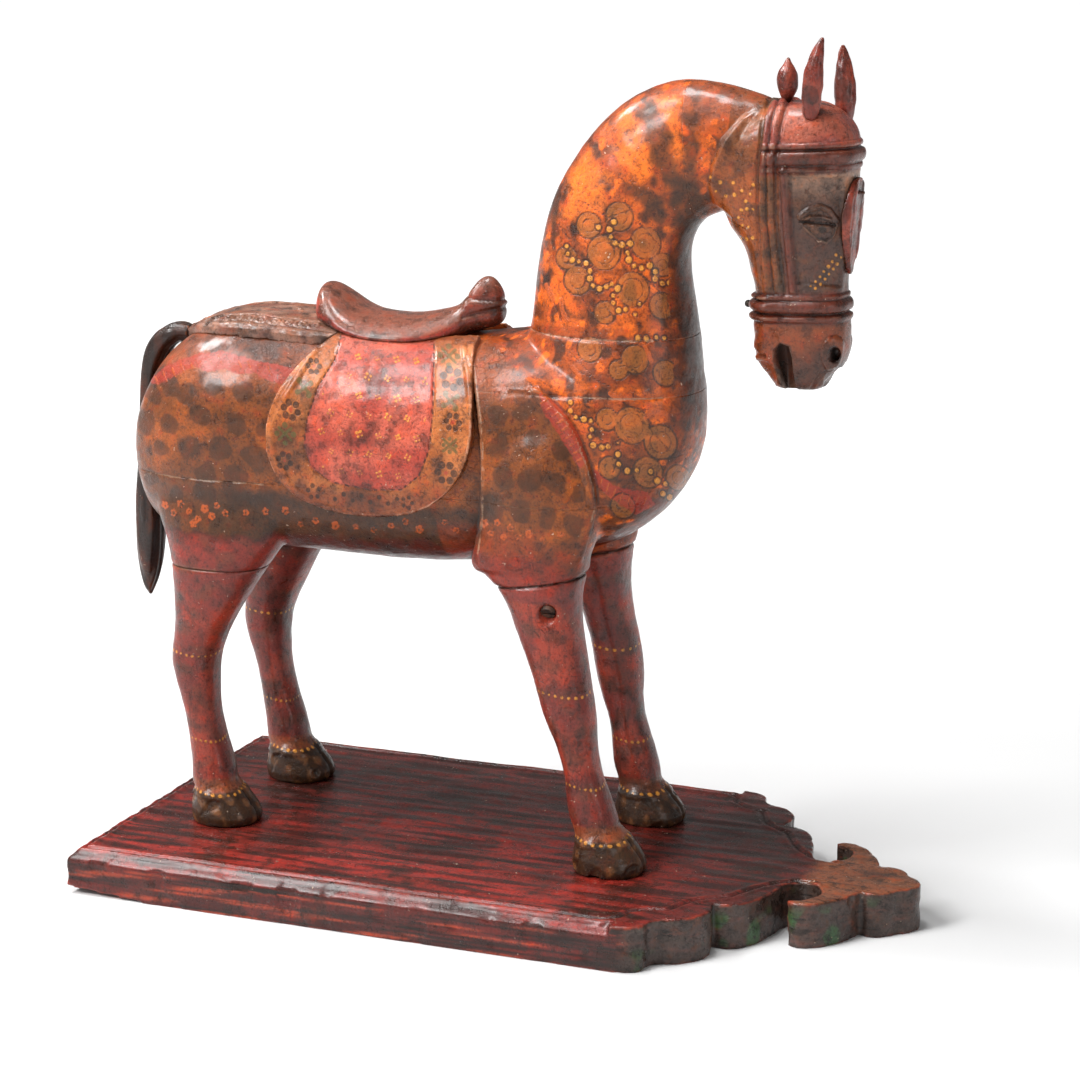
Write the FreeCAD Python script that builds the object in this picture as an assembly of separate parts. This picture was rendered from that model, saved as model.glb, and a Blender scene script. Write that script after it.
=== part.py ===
import FreeCAD, Part
import math
import os

# Carved wooden horse on a scalloped board, in millimetres.
# +X is the way the horse faces, +Y is its left side, +Z is up.
# The origin is the centre of the board's rectangle, on its underside.

os.makedirs("parts", exist_ok=True)
Vec = FreeCAD.Vector

# ---- driving dimensions ----
BOARD_HALF_LENGTH = 290.0
BOARD_HALF_WIDTH = 150.0
BOARD_THICKNESS = 32.0
MIDPLANE_Y = 8.0              # the horse stands a little left of the board's centre line
LEG_SPREAD = 56.0             # hoof centre to the horse's midplane
FRONT_JOINT_Z = 228.0         # front legs meet the body here
HIND_JOINT_Z = 222.0
LAMINATION_Z = 287.0          # lower and upper body blocks meet here
WITHERS_SEAM_Z = 362.0
NECK_SEAM_Z = 400.0
WITHERS_BACK_X = -22.0
HEAD_SEAM_X = 125.0
HEAD_SEAM_LOWEST_Z = 474.0
HEAD_SEAM_TILT = 5.0          # degrees, leaning back
LEATHER_RELIEF = 5.0          # saddle flaps and rump cover stand this proud of the body
GLUE_GAP = 0.05               # room all round pegs, tenons and pins

RIGHT = -1
LEFT = 1
SIDE_NAMES = {RIGHT: "right", LEFT: "left"}
RING_POINTS = 16
FAR = 1000.0                  # larger than the object
ALONG = Vec(1, 0, 0)
ACROSS = Vec(0, 1, 0)
UP = Vec(0, 0, 1)


# ---- shape helpers ----
def power(value, fullness):
    """Signed power that squares up an ellipse as fullness grows past 2."""
    return math.copysign(abs(value) ** (2.0 / fullness), value)


def ring(centre, axis, reach, drop, half_width, fullness):
    """Closed oval wire: reach and drop run along +axis and -axis, half_width along Y."""
    points = []
    for step in range(RING_POINTS):
        angle = 2.0 * math.pi * step / RING_POINTS
        along = power(math.cos(angle), fullness)
        across = power(math.sin(angle), fullness)
        length = reach if along > 0 else drop
        points.append(centre + axis * (along * length) + ACROSS * (across * half_width))
    curve = Part.BSplineCurve()
    curve.interpolate(Points=points, PeriodicFlag=True)
    return Part.Wire([curve.toShape()])


def level_ring(z, x_back, x_front, y, half_width, fullness):
    """Oval in a horizontal plane."""
    half = (x_front - x_back) / 2.0
    return ring(Vec(x_back + half, y, z), ALONG, half, half, half_width, fullness)


def loft(wires):
    return Part.makeLoft(wires, True, False)


def smooth_edge(points):
    curve = Part.BSplineCurve()
    curve.interpolate(Points=points)
    return curve.toShape()


def prism(points, direction):
    """Solid swept from the closed smooth outline through the points."""
    curve = Part.BSplineCurve()
    curve.interpolate(Points=points, PeriodicFlag=True)
    return Part.Face(Part.Wire([curve.toShape()])).extrude(direction)


def block(x_low, x_high, y_low, y_high, z_low, z_high):
    corner = Vec(x_low, y_low, z_low)
    return Part.makeBox(x_high - x_low, y_high - y_low, z_high - z_low, corner)


def layer(z_low, z_high, x_low=-FAR):
    """Everything between two heights, ahead of x_low."""
    return block(x_low, FAR, -FAR, FAR, z_low, z_high)


def peg(middle, direction, diameter, length):
    """Round peg centred on a point."""
    return Part.makeCylinder(diameter / 2.0, length, middle - direction * (length / 2.0), direction)


def one_solid(shape):
    """The main solid, without slivers that a cut has left."""
    return max(shape.Solids, key=lambda solid: solid.Volume)


# ---- body masses ----
# X, bottom Z, top Z, half width, Z of the widest place
TRUNK_SECTIONS = [
    (-291.0, 276.0, 318.0, 26.0, 300.0),
    (-287.0, 258.0, 338.0, 42.0, 302.0),
    (-280.0, 246.0, 352.0, 53.0, 303.0),
    (-267.0, 237.0, 370.0, 62.0, 305.0),
    (-249.0, 232.0, 385.0, 69.0, 307.0),
    (-226.0, 230.0, 394.0, 73.0, 308.0),
    (-195.0, 230.0, 398.0, 72.0, 308.0),
    (-155.0, 230.0, 395.0, 68.0, 306.0),
    (-110.0, 229.0, 391.0, 66.0, 304.0),
    (-60.0, 230.0, 390.0, 66.0, 304.0),
    (-20.0, 233.0, 394.0, 66.0, 306.0),
    (18.0, 239.0, 398.0, 66.0, 310.0),
    (55.0, 249.0, 398.0, 63.0, 316.0),
    (86.0, 265.0, 396.0, 54.0, 324.0),
    (106.0, 284.0, 392.0, 43.0, 332.0),
    (119.0, 306.0, 384.0, 30.0, 340.0),
    (125.0, 326.0, 370.0, 16.0, 346.0),
]
TRUNK_FULLNESS = 2.45

# Z, back X, front X, half width, distance of the centre from the midplane
FRONT_LIMB_SECTIONS = [
    (57.0, 58.0, 89.0, 16.0, 56.0),
    (70.0, 54.0, 86.0, 16.5, 56.0),
    (89.0, 51.0, 79.5, 15.5, 56.0),
    (105.0, 48.5, 74.0, 15.0, 56.0),
    (122.0, 42.5, 71.0, 16.0, 56.0),
    (141.0, 35.0, 70.0, 18.0, 56.0),
    (159.0, 29.5, 67.0, 19.0, 55.0),
    (176.0, 23.0, 63.0, 20.0, 54.0),
    (195.0, 15.0, 59.0, 22.0, 53.0),
    (213.0, 7.5, 57.5, 24.0, 51.0),
    (229.0, -4.0, 58.5, 26.0, 49.0),
    (240.0, -17.0, 61.0, 27.0, 47.0),
    (262.0, -15.0, 68.0, 28.0, 45.0),
    (290.0, -13.0, 74.0, 28.5, 43.5),
    (315.0, -13.0, 70.0, 28.0, 42.0),
    (340.0, -12.0, 60.0, 25.0, 37.0),
    (368.0, -10.0, 44.0, 20.0, 30.0),
]
HIND_LIMB_SECTIONS = [
    (57.0, -237.0, -204.0, 16.0, 56.0),
    (70.0, -238.5, -208.0, 16.5, 56.0),
    (92.0, -240.5, -214.0, 15.0, 56.0),
    (116.0, -244.5, -219.0, 15.0, 56.0),
    (138.0, -250.0, -219.5, 16.5, 56.0),
    (152.0, -252.5, -218.5, 18.0, 56.0),
    (165.0, -251.5, -215.0, 19.0, 55.0),
    (181.0, -250.0, -207.0, 21.0, 54.0),
    (200.0, -251.0, -196.0, 23.0, 52.0),
    (222.0, -254.0, -182.0, 26.0, 49.0),
    (245.0, -261.0, -168.0, 28.0, 46.0),
    (275.0, -264.0, -162.0, 28.0, 42.0),
    (302.0, -254.0, -172.0, 24.0, 36.0),
]
LIMB_FULLNESS = 2.3
# height above the board, back and front edges ahead of the hoof's centre, half width
HOOF_SECTIONS = [
    (0.0, -24.5, 22.5, 22.0),
    (3.0, -26.0, 24.5, 23.5),
    (10.0, -26.5, 23.0, 23.0),
    (19.0, -25.0, 16.0, 21.0),
    (26.0, -22.5, 9.5, 18.5),
    (31.0, -19.0, 5.0, 15.0),
]
HOOF_FULLNESS = 2.2
FRONT_HOOF_X = 83.0
HIND_HOOF_X = -213.5
FRONT_LEAN = {RIGHT: 0.0, LEFT: -9.0}       # how far along X each hoof is set from the right one
HIND_LEAN = {RIGHT: 0.0, LEFT: 5.0}
SLIMMING_CENTRE_Z = 212.0     # the left front leg is slimmer behind, just below its joint
SLIMMING_REACH = 85.0
FRONT_SLIMMING = {RIGHT: 0.0, LEFT: 9.0}
HIND_SLIMMING = {RIGHT: 0.0, LEFT: 0.0}

# crest X, crest Z, throat X, throat Z, half width
NECK_SECTIONS = [
    (-9.0, 330.0, 125.0, 330.0, 58.0),
    (-5.0, 362.0, 126.0, 362.0, 54.0),
    (4.0, 400.0, 122.5, 398.0, 47.0),
    (9.5, 440.0, 117.5, 432.0, 41.0),
    (19.0, 485.0, 116.0, 455.0, 37.0),
    (40.5, 524.0, 119.5, 469.0, 34.0),
    (70.0, 554.0, 125.0, 477.0, 32.0),
    (101.0, 568.5, 131.0, 481.0, 30.0),
    (133.0, 569.0, 140.0, 484.0, 29.0),
    (160.0, 563.0, 151.0, 488.0, 28.0),
    (180.0, 549.0, 168.0, 495.0, 24.0),
]
NECK_WIDEST_SHARE = 0.45      # of the way from throat to crest
NECK_FULLNESS = 2.15

# Z, back X, front X, half width
HEAD_SECTIONS = [
    (368.5, 183.0, 206.0, 9.0),
    (373.0, 174.0, 215.0, 15.0),
    (384.0, 167.0, 223.0, 19.0),
    (400.0, 164.0, 228.0, 21.5),
    (415.0, 166.0, 228.0, 22.0),
    (432.0, 167.0, 226.0, 22.5),
    (450.0, 163.0, 226.0, 24.5),
    (465.0, 158.0, 226.5, 27.0),
    (478.0, 148.0, 227.5, 29.0),
    (490.0, 139.0, 228.5, 30.5),
    (505.0, 134.0, 230.0, 31.5),
    (520.0, 135.0, 231.0, 32.0),
    (533.0, 141.0, 231.0, 31.5),
    (545.0, 154.0, 226.0, 28.5),
    (553.0, 166.0, 217.0, 23.0),
    (558.0, 178.0, 206.0, 12.0),
]
HEAD_FULLNESS = 2.5


def trunk(skin=0.0):
    """Barrel of the horse, grown by a skin where something is laid over it."""
    wires = []
    for x, bottom, top, half_width, widest in TRUNK_SECTIONS:
        centre = Vec(x, MIDPLANE_Y, widest)
        rise = top - widest + skin
        fall = widest - bottom + skin
        wires.append(ring(centre, UP, rise, fall, half_width + skin, TRUNK_FULLNESS))
    return loft(wires)


def limb(end, side):
    """Leg and the shoulder or haunch above it; the lean fades out towards the body joint."""
    spec = LEGS[end]
    wires = []
    for z, x_back, x_front, half_width, spread in spec["sections"]:
        share = (FRONT_JOINT_Z - z) / (FRONT_JOINT_Z - BOARD_THICKNESS)
        shift = spec["lean"][side] * max(0.0, share)
        nearness = max(0.0, 1.0 - abs(z - SLIMMING_CENTRE_Z) / SLIMMING_REACH)
        back = x_back + shift + spec["slimming"][side] * nearness
        y = MIDPLANE_Y + side * spread
        wires.append(level_ring(z, back, x_front + shift, y, half_width, LIMB_FULLNESS))
    return loft(wires)


def hoof(x, side):
    wires = []
    y = MIDPLANE_Y + side * LEG_SPREAD
    for height, back, front, half_width in HOOF_SECTIONS:
        z = BOARD_THICKNESS + height
        wires.append(level_ring(z, x + back, x + front, y, half_width, HOOF_FULLNESS))
    return loft(wires)


def neck_column():
    """Chest, neck and poll in one sweep, on planes that fan out round the throat."""
    wires = []
    for crest_x, crest_z, throat_x, throat_z, half_width in NECK_SECTIONS:
        crest = Vec(crest_x, MIDPLANE_Y, crest_z)
        throat = Vec(throat_x, MIDPLANE_Y, throat_z)
        span = crest - throat
        axis = Vec(span)
        axis.normalize()
        drop = span.Length * NECK_WIDEST_SHARE
        centre = throat + axis * drop
        wires.append(ring(centre, axis, span.Length - drop, drop, half_width, NECK_FULLNESS))
    return loft(wires)


def head_mass():
    wires = []
    for z, x_back, x_front, half_width in HEAD_SECTIONS:
        wires.append(level_ring(z, x_back, x_front, MIDPLANE_Y, half_width, HEAD_FULLNESS))
    return loft(wires)


def space_ahead_of_head_seam():
    """Everything on the head's side of its tilted joint face, above the throat."""
    space = block(HEAD_SEAM_X, FAR, -FAR, FAR, HEAD_SEAM_LOWEST_Z, FAR)
    space.rotate(Vec(HEAD_SEAM_X, 0, HEAD_SEAM_LOWEST_Z), ACROSS, -HEAD_SEAM_TILT)
    return space


# ---- legs: tenoned into the body and cross-pinned ----
TENON_WIDTH = 16.0
TENON_RISE = 40.0
PIN_DIAMETER = 9.0
PIN_RISE = 21.0               # above the joint
PIN_INNER_REACH = 30.0        # from the midplane
TENON_SPREAD = 49.0           # tenon centre to the midplane
LEGS = {
    "front": {"sections": FRONT_LIMB_SECTIONS, "joint": FRONT_JOINT_Z, "hoof": FRONT_HOOF_X,
              "lean": FRONT_LEAN, "slimming": FRONT_SLIMMING, "tenon": (9.0, 50.0), "pin": 19.0},
    "hind": {"sections": HIND_LIMB_SECTIONS, "joint": HIND_JOINT_Z, "hoof": HIND_HOOF_X,
             "lean": HIND_LEAN, "slimming": HIND_SLIMMING, "tenon": (-246.0, -200.0), "pin": -217.0},
}


def tenon(end, side, gap=0.0):
    x_low, x_high = LEGS[end]["tenon"]
    y = MIDPLANE_Y + side * TENON_SPREAD
    half = TENON_WIDTH / 2.0 + gap
    joint = LEGS[end]["joint"]
    return block(x_low - gap, x_high + gap, y - half, y + half, joint, joint + TENON_RISE + gap)


def cross_pin(end, side, gap=0.0):
    """Pin driven in from outside through body and tenon, before it is trimmed flush."""
    start = Vec(LEGS[end]["pin"], MIDPLANE_Y + side * PIN_INNER_REACH, LEGS[end]["joint"] + PIN_RISE)
    radius = PIN_DIAMETER / 2.0 + gap
    return Part.makeCylinder(radius, BOARD_HALF_WIDTH, start, ACROSS * side)


def leg(end, side):
    spec = LEGS[end]
    lower = limb(end, side).common(layer(0.0, spec["joint"]))
    foot = hoof(spec["hoof"] + spec["lean"][side], side)
    whole = lower.fuse([foot, tenon(end, side)])
    return one_solid(whole.removeSplitter())


def limb_root(end, side):
    """Shoulder or haunch that belongs to the body."""
    return limb(end, side).common(layer(LEGS[end]["joint"], FAR))


# ---- saddle, flaps, rump cover ----
# X, Z of the widest line, rise above it, drop below it, half width
SEAT_SECTIONS = [
    (-156.5, 406.0, 8.0, 5.0, 8.0),
    (-155.0, 404.0, 15.0, 8.0, 15.0),
    (-150.0, 401.0, 21.0, 8.0, 24.0),
    (-140.0, 398.0, 19.0, 7.0, 31.0),
    (-128.0, 393.0, 16.0, 6.0, 35.0),
    (-105.0, 388.0, 15.0, 5.0, 37.0),
    (-80.0, 388.0, 16.0, 5.0, 36.0),
    (-60.0, 391.0, 17.0, 6.0, 31.0),
    (-46.0, 396.0, 19.0, 7.0, 24.0),
    (-36.0, 402.0, 27.0, 8.0, 17.0),
    (-28.0, 404.0, 28.0, 8.0, 13.0),
    (-21.0, 406.0, 20.0, 7.0, 9.0),
    (-18.0, 409.0, 8.0, 6.0, 4.0),
]
# outline of a flap seen from the side, X and Z
FLAP_OUTLINE = [
    (-112.0, 408.0), (-134.0, 388.0), (-156.0, 362.0), (-167.0, 332.0), (-165.0, 304.0),
    (-151.0, 284.0), (-126.0, 273.0), (-93.0, 270.5), (-60.0, 275.5), (-33.0, 292.0),
    (-17.0, 320.0), (-15.5, 352.0), (-23.0, 385.0), (-36.0, 408.0), (-74.0, 414.0),
]
FLAP_TOP_REACH = 24.0         # the flaps stop this far from the midplane, under the seat
# outline of the rump cover seen from above, X and distance from the midplane
COVER_OUTLINE = [
    (-124.0, 37.0), (-150.0, 41.0), (-185.0, 44.0), (-218.0, 42.0), (-242.0, 32.0), (-256.0, 16.0),
]


def flap(side):
    points = [Vec(x, MIDPLANE_Y + side * FLAP_TOP_REACH, z) for x, z in FLAP_OUTLINE]
    return trunk(LEATHER_RELIEF).common(prism(points, ACROSS * (side * BOARD_HALF_WIDTH)))


def rump_cover():
    right_edge = [Vec(x, MIDPLANE_Y - reach, NECK_SEAM_Z) for x, reach in COVER_OUTLINE]
    left_edge = [Vec(x, MIDPLANE_Y + reach, NECK_SEAM_Z) for x, reach in reversed(COVER_OUTLINE)]
    rear = Vec(COVER_OUTLINE[-1][0] - 4.0, MIDPLANE_Y, NECK_SEAM_Z)
    back = smooth_edge(right_edge + [rear] + left_edge)
    front = Part.makeLine(left_edge[-1], right_edge[0])
    sweep = Part.Face(Part.Wire([back, front])).extrude(UP * -FAR)
    return trunk(LEATHER_RELIEF).common(sweep).common(layer(LAMINATION_Z, FAR))


def seat():
    wires = []
    for x, widest, rise, drop, half_width in SEAT_SECTIONS:
        wires.append(ring(Vec(x, MIDPLANE_Y, widest), UP, rise, drop, half_width, 2.0))
    return loft(wires)


# ---- tail, ears, bud, pendant ----
# X and Z of the middle, half thickness, half width
TAIL_SECTIONS = [
    (-262.0, 379.0, 5.0, 8.0),
    (-276.0, 378.0, 7.0, 10.0),
    (-288.0, 368.0, 8.0, 11.0),
    (-295.0, 350.0, 7.5, 11.0),
    (-298.0, 320.0, 7.0, 11.0),
    (-300.0, 290.0, 7.0, 11.0),
    (-301.0, 260.0, 8.5, 12.0),
    (-301.5, 235.0, 10.0, 12.0),
    (-302.0, 210.0, 9.0, 10.0),
    (-303.0, 190.0, 5.0, 6.0),
    (-304.0, 179.0, 1.0, 1.5),
]
TAIL_TENON_DIAMETER = 8.0
TAIL_TENON_LENGTH = 30.0
TAIL_TENON_MIDDLE = Vec(-264.0, MIDPLANE_Y, 372.0)
TAIL_TENON_AXIS = Vec(0.9, 0, -0.436)

# height above the root, half length along X, half width, lean along X
EAR_SECTIONS = [
    (0.0, 4.0, 4.0, 0.0),
    (7.0, 5.5, 5.5, 0.3),
    (20.0, 6.8, 6.5, 1.2),
    (33.0, 5.8, 5.5, 2.6),
    (44.0, 3.4, 3.5, 4.6),
    (51.0, 0.8, 1.0, 6.5),
]
EAR_TENON_DIAMETER = 6.0
EAR_ROOTS = {RIGHT: Vec(204.5, MIDPLANE_Y - 22.0, 549.0), LEFT: Vec(215.5, MIDPLANE_Y + 22.0, 543.0)}
EAR_LEAN = {RIGHT: 1.0, LEFT: -0.4}
EAR_HEIGHT = {RIGHT: 1.0, LEFT: 0.98}       # the left ear has lost its tip

BUD_ROOT = Vec(182.0, MIDPLANE_Y, 557.0)
# height above the root, radius
BUD_SECTIONS = [(0.0, 3.0), (5.0, 5.0), (12.0, 7.0), (19.0, 6.2), (25.0, 3.2), (29.0, 0.8)]
TENON_DEPTH = 12.0            # ears and bud are set this deep

PENDANT_OUTLINE = [(0.0, 510.0), (10.0, 505.0), (15.0, 492.0), (14.5, 476.0), (9.0, 459.0), (0.0, 446.0)]
PENDANT_BACK_X = 218.0
PENDANT_FRONT_X = 233.0
PENDANT_TILT = 4.0            # degrees


def tail():
    wires = []
    path = [Vec(x, MIDPLANE_Y, z) for x, z, _, _ in TAIL_SECTIONS]
    for index, (x, z, half_thickness, half_width) in enumerate(TAIL_SECTIONS):
        before = path[max(index - 1, 0)]
        after = path[min(index + 1, len(path) - 1)]
        run = after - before
        outward = Vec(run.z, 0, -run.x)
        outward.normalize()
        wires.append(ring(path[index], outward, half_thickness, half_thickness, half_width, 2.2))
    return loft(wires)


def tail_tenon(gap=0.0):
    axis = Vec(TAIL_TENON_AXIS)
    axis.normalize()
    return peg(TAIL_TENON_MIDDLE, axis, TAIL_TENON_DIAMETER + 2 * gap, TAIL_TENON_LENGTH + 2 * gap)


def set_tenon(root, diameter, gap=0.0):
    """Round tenon below an ear or the bud, reaching a little way up into it."""
    top = root + UP * 4.0
    depth = TENON_DEPTH + 4.0 + gap
    return Part.makeCylinder(diameter / 2.0 + gap, depth, top, UP * -1)


def ear(side):
    wires = []
    root = EAR_ROOTS[side]
    for rise, half_length, half_width, lean in EAR_SECTIONS:
        x = root.x + lean * EAR_LEAN[side]
        z = root.z + rise * EAR_HEIGHT[side]
        wires.append(level_ring(z, x - half_length, x + half_length, root.y, half_width, 2.0))
    return loft(wires)


def bud():
    wires = []
    for rise, radius in BUD_SECTIONS:
        z = BUD_ROOT.z + rise
        wires.append(level_ring(z, BUD_ROOT.x - radius, BUD_ROOT.x + radius, BUD_ROOT.y, radius, 2.0))
    return loft(wires)


def pendant():
    left_side = [Vec(PENDANT_BACK_X, MIDPLANE_Y + reach, z) for reach, z in PENDANT_OUTLINE]
    right_side = [Vec(PENDANT_BACK_X, MIDPLANE_Y - reach, z) for reach, z in PENDANT_OUTLINE[-2:0:-1]]
    leaf = prism(left_side + right_side, ALONG * (PENDANT_FRONT_X - PENDANT_BACK_X))
    leaf.rotate(Vec(PENDANT_FRONT_X, 0, PENDANT_OUTLINE[0][1]), ACROSS, PENDANT_TILT)
    return leaf


# ---- board ----
BEVEL_WIDTH = 8.0
BEVEL_DROP = 7.0
GROOVE_INSET = 11.0
GROOVE_WIDTH = 2.0
GROOVE_DEPTH = 1.2
GROOVE_FRONT_X = 116.0
REAR_RELIEF_HEIGHT = 5.0      # the underside lifts towards the rear edge
REAR_RELIEF_LENGTH = 60.0
SHOULDER_X = 118.0            # straight sides end here
# smooth runs between sharp corners of the front end, X and distance from the centre line
SCALLOP_RUNS = [
    [(SHOULDER_X, BOARD_HALF_WIDTH), (126.0, 149.6), (134.0, 146.5), (139.0, 138.0)],
    [(139.0, 138.0), (141.0, 131.0), (149.0, 125.0)],
    [(149.0, 125.0), (161.0, 119.0), (169.0, 108.0), (171.0, 95.0), (166.0, 84.0)],
    [(166.0, 84.0), (180.0, 84.0), (191.0, 74.0), (198.0, 58.0), (202.0, 42.0)],
    [(202.0, 42.0), (205.0, 30.0), (214.0, 23.0), (224.0, 26.0), (230.0, 36.0), (229.0, 48.0),
     (222.0, 57.0), (213.0, 61.0)],
    [(213.0, 61.0), (223.0, 66.0), (235.0, 60.0), (246.0, 47.0), (252.0, 36.0), (255.0, 26.0)],
    [(255.0, 26.0), (264.0, 29.0), (273.0, 24.0), (278.0, 16.0)],
]
TIP_RUN = [(278.0, 16.0), (286.0, 10.0), (BOARD_HALF_LENGTH, 0.0), (286.0, -10.0), (278.0, -16.0)]


def board_outline():
    left = [smooth_edge([Vec(x, y, 0) for x, y in run]) for run in SCALLOP_RUNS]
    right = [smooth_edge([Vec(x, -y, 0) for x, y in run]) for run in SCALLOP_RUNS]
    tip = smooth_edge([Vec(x, y, 0) for x, y in TIP_RUN])
    corners = [Vec(SHOULDER_X, -BOARD_HALF_WIDTH, 0), Vec(-BOARD_HALF_LENGTH, -BOARD_HALF_WIDTH, 0),
               Vec(-BOARD_HALF_LENGTH, BOARD_HALF_WIDTH, 0), Vec(SHOULDER_X, BOARD_HALF_WIDTH, 0)]
    sides = [Part.makeLine(start, end) for start, end in zip(corners, corners[1:])]
    return Part.Wire(Part.__sortEdges__(left + right + [tip] + sides))


def triangle_sweep(points, direction):
    return Part.Face(Part.makePolygon(points + points[:1])).extrude(direction)


def rim_bevels():
    """Sloping rim along both sides and the rear."""
    low = BOARD_THICKNESS - BEVEL_DROP
    cuts = []
    for side in (RIGHT, LEFT):
        edge = side * BOARD_HALF_WIDTH
        points = [Vec(-FAR, edge, low), Vec(-FAR, edge - side * BEVEL_WIDTH, BOARD_THICKNESS),
                  Vec(-FAR, edge, BOARD_THICKNESS)]
        cuts.append(triangle_sweep(points, ALONG * (FAR + SHOULDER_X)))
    rear = -BOARD_HALF_LENGTH
    points = [Vec(rear, -FAR, low), Vec(rear + BEVEL_WIDTH, -FAR, BOARD_THICKNESS),
              Vec(rear, -FAR, BOARD_THICKNESS)]
    cuts.append(triangle_sweep(points, ACROSS * (2 * FAR)))
    return cuts


def rim_grooves():
    low = BOARD_THICKNESS - GROOVE_DEPTH
    x_rear = -BOARD_HALF_LENGTH + GROOVE_INSET
    reach = BOARD_HALF_WIDTH - GROOVE_INSET
    cuts = [block(x_rear, x_rear + GROOVE_WIDTH, -reach, reach, low, FAR)]
    for side in (RIGHT, LEFT):
        y = side * (reach - GROOVE_WIDTH / 2.0)
        half = GROOVE_WIDTH / 2.0
        cuts.append(block(x_rear, GROOVE_FRONT_X, y - half, y + half, low, FAR))
    return cuts


def board():
    plank = Part.Face(board_outline()).extrude(UP * BOARD_THICKNESS)
    rear = -BOARD_HALF_LENGTH
    wedge = [Vec(rear, -FAR, 0), Vec(rear, -FAR, REAR_RELIEF_HEIGHT),
             Vec(rear + REAR_RELIEF_LENGTH, -FAR, 0)]
    relief = triangle_sweep(wedge, ACROSS * (2 * FAR))
    return one_solid(plank.cut(rim_bevels() + rim_grooves() + [relief]))


# ---- pegs, pins and screws ----
NECK_PEG_DIAMETER = 16.0
NECK_PEG_LENGTH = 96.0
HEAD_PEG_DIAMETER = 12.0
HEAD_PEG_LENGTH = 50.0
BODY_PEG_DIAMETER = 14.0
BODY_PEG_LENGTH = 56.0
SEAT_PEG_DIAMETER = 8.0
SEAT_PEG_LENGTH = 26.0
FLAP_PEG_DIAMETER = 4.0
FLAP_PEG_LENGTH = 22.0
COVER_PEG_DIAMETER = 4.0
COVER_PEG_LENGTH = 20.0
PLUG_DIAMETER = 6.5
PLUG_DEPTH = 10.0


def neck_pegs():
    middle = (WITHERS_SEAM_Z + NECK_SEAM_Z) / 2.0
    return [(Vec(x, MIDPLANE_Y, middle), UP, NECK_PEG_DIAMETER, NECK_PEG_LENGTH) for x in (36.0, 88.0)]


def head_pegs():
    return [(Vec(HEAD_SEAM_X - 4.0, MIDPLANE_Y, z), ALONG, HEAD_PEG_DIAMETER, HEAD_PEG_LENGTH)
            for z in (512.0, 546.0)]


def body_pegs():
    places = ((-250.0, 0.0), (-120.0, 30.0), (-120.0, -30.0), (-20.0, 0.0), (70.0, 0.0))
    return [(Vec(x, MIDPLANE_Y + y, LAMINATION_Z), UP, BODY_PEG_DIAMETER, BODY_PEG_LENGTH)
            for x, y in places]


def seat_pegs():
    return [(Vec(x, MIDPLANE_Y, 386.0), UP, SEAT_PEG_DIAMETER, SEAT_PEG_LENGTH) for x in (-125.0, -72.0)]


def flap_pegs():
    """Pegs that pin each flap to the barrel, before they are trimmed flush."""
    specs = []
    for side in (RIGHT, LEFT):
        for x in (-135.0, -60.0):
            middle = Vec(x, MIDPLANE_Y + side * 62.0, 305.0)
            specs.append((middle, ACROSS, FLAP_PEG_DIAMETER, FLAP_PEG_LENGTH))
    return specs


def cover_pegs():
    """Pegs that pin the rump cover, before they are trimmed flush."""
    return [(Vec(x, MIDPLANE_Y, 394.0), UP, COVER_PEG_DIAMETER, COVER_PEG_LENGTH) for x in (-240.0, -175.0)]


def plugs():
    """Old holes in the front legs filled with round plugs, before they are trimmed flush."""
    right = MIDPLANE_Y - LEG_SPREAD
    left = MIDPLANE_Y + LEG_SPREAD
    places = (Vec(57.0, right - 17.0, 148.0), Vec(65.0, right - 14.0, 120.0), Vec(63.0, left - 14.0, 101.0))
    return [(place, ACROSS, PLUG_DIAMETER, 2 * PLUG_DEPTH) for place in places]


def pegs(specs, gap=0.0):
    return [peg(middle, axis, diameter + 2 * gap, length + 2 * gap)
            for middle, axis, diameter, length in specs]


SCREW_SHANK_DIAMETER = 5.0
SCREW_HEAD_DIAMETER = 10.0
SCREW_HEAD_THICKNESS = 3.0
SCREW_SLOT_WIDTH = 1.4
SCREW_SLOT_DEPTH = 1.2
SCREW_POCKET_DIAMETER = 12.0
LEG_SCREW_LENGTH = 40.0
LEG_SCREW_HEAD = Vec(42.0, -62.0, 217.0)
LEG_SCREW_AXIS = Vec(0, 0.766, 0.643)
FLOOR_SCREW_LENGTH = 52.0
FLOOR_SCREW_HEAD_Z = 5.0


def screw(head_base, axis, length):
    """Slotted screw: head_base is where head and shank meet, axis points to the tip."""
    shank = Part.makeCylinder(SCREW_SHANK_DIAMETER / 2.0, length, head_base, axis)
    head = Part.makeCylinder(SCREW_HEAD_DIAMETER / 2.0, SCREW_HEAD_THICKNESS, head_base, axis * -1)
    outer_face = head_base - axis * SCREW_HEAD_THICKNESS
    slot = block(outer_face.x - SCREW_HEAD_DIAMETER, outer_face.x + SCREW_HEAD_DIAMETER,
                 outer_face.y - SCREW_SLOT_WIDTH / 2.0, outer_face.y + SCREW_SLOT_WIDTH / 2.0,
                 outer_face.z - SCREW_SLOT_DEPTH, outer_face.z + SCREW_SLOT_DEPTH)
    slot.rotate(outer_face, ALONG, -math.degrees(math.atan2(axis.y, axis.z)))
    return shank.fuse(head).cut(slot)


def screw_room(head_base, axis, length, pocket_length):
    """Hole that the screw runs in, with the pocket over its head."""
    shank = Part.makeCylinder(SCREW_SHANK_DIAMETER / 2.0 + GLUE_GAP, length + GLUE_GAP, head_base, axis)
    pocket = Part.makeCylinder(SCREW_POCKET_DIAMETER / 2.0, pocket_length, head_base, axis * -1)
    return shank.fuse(pocket)


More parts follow.
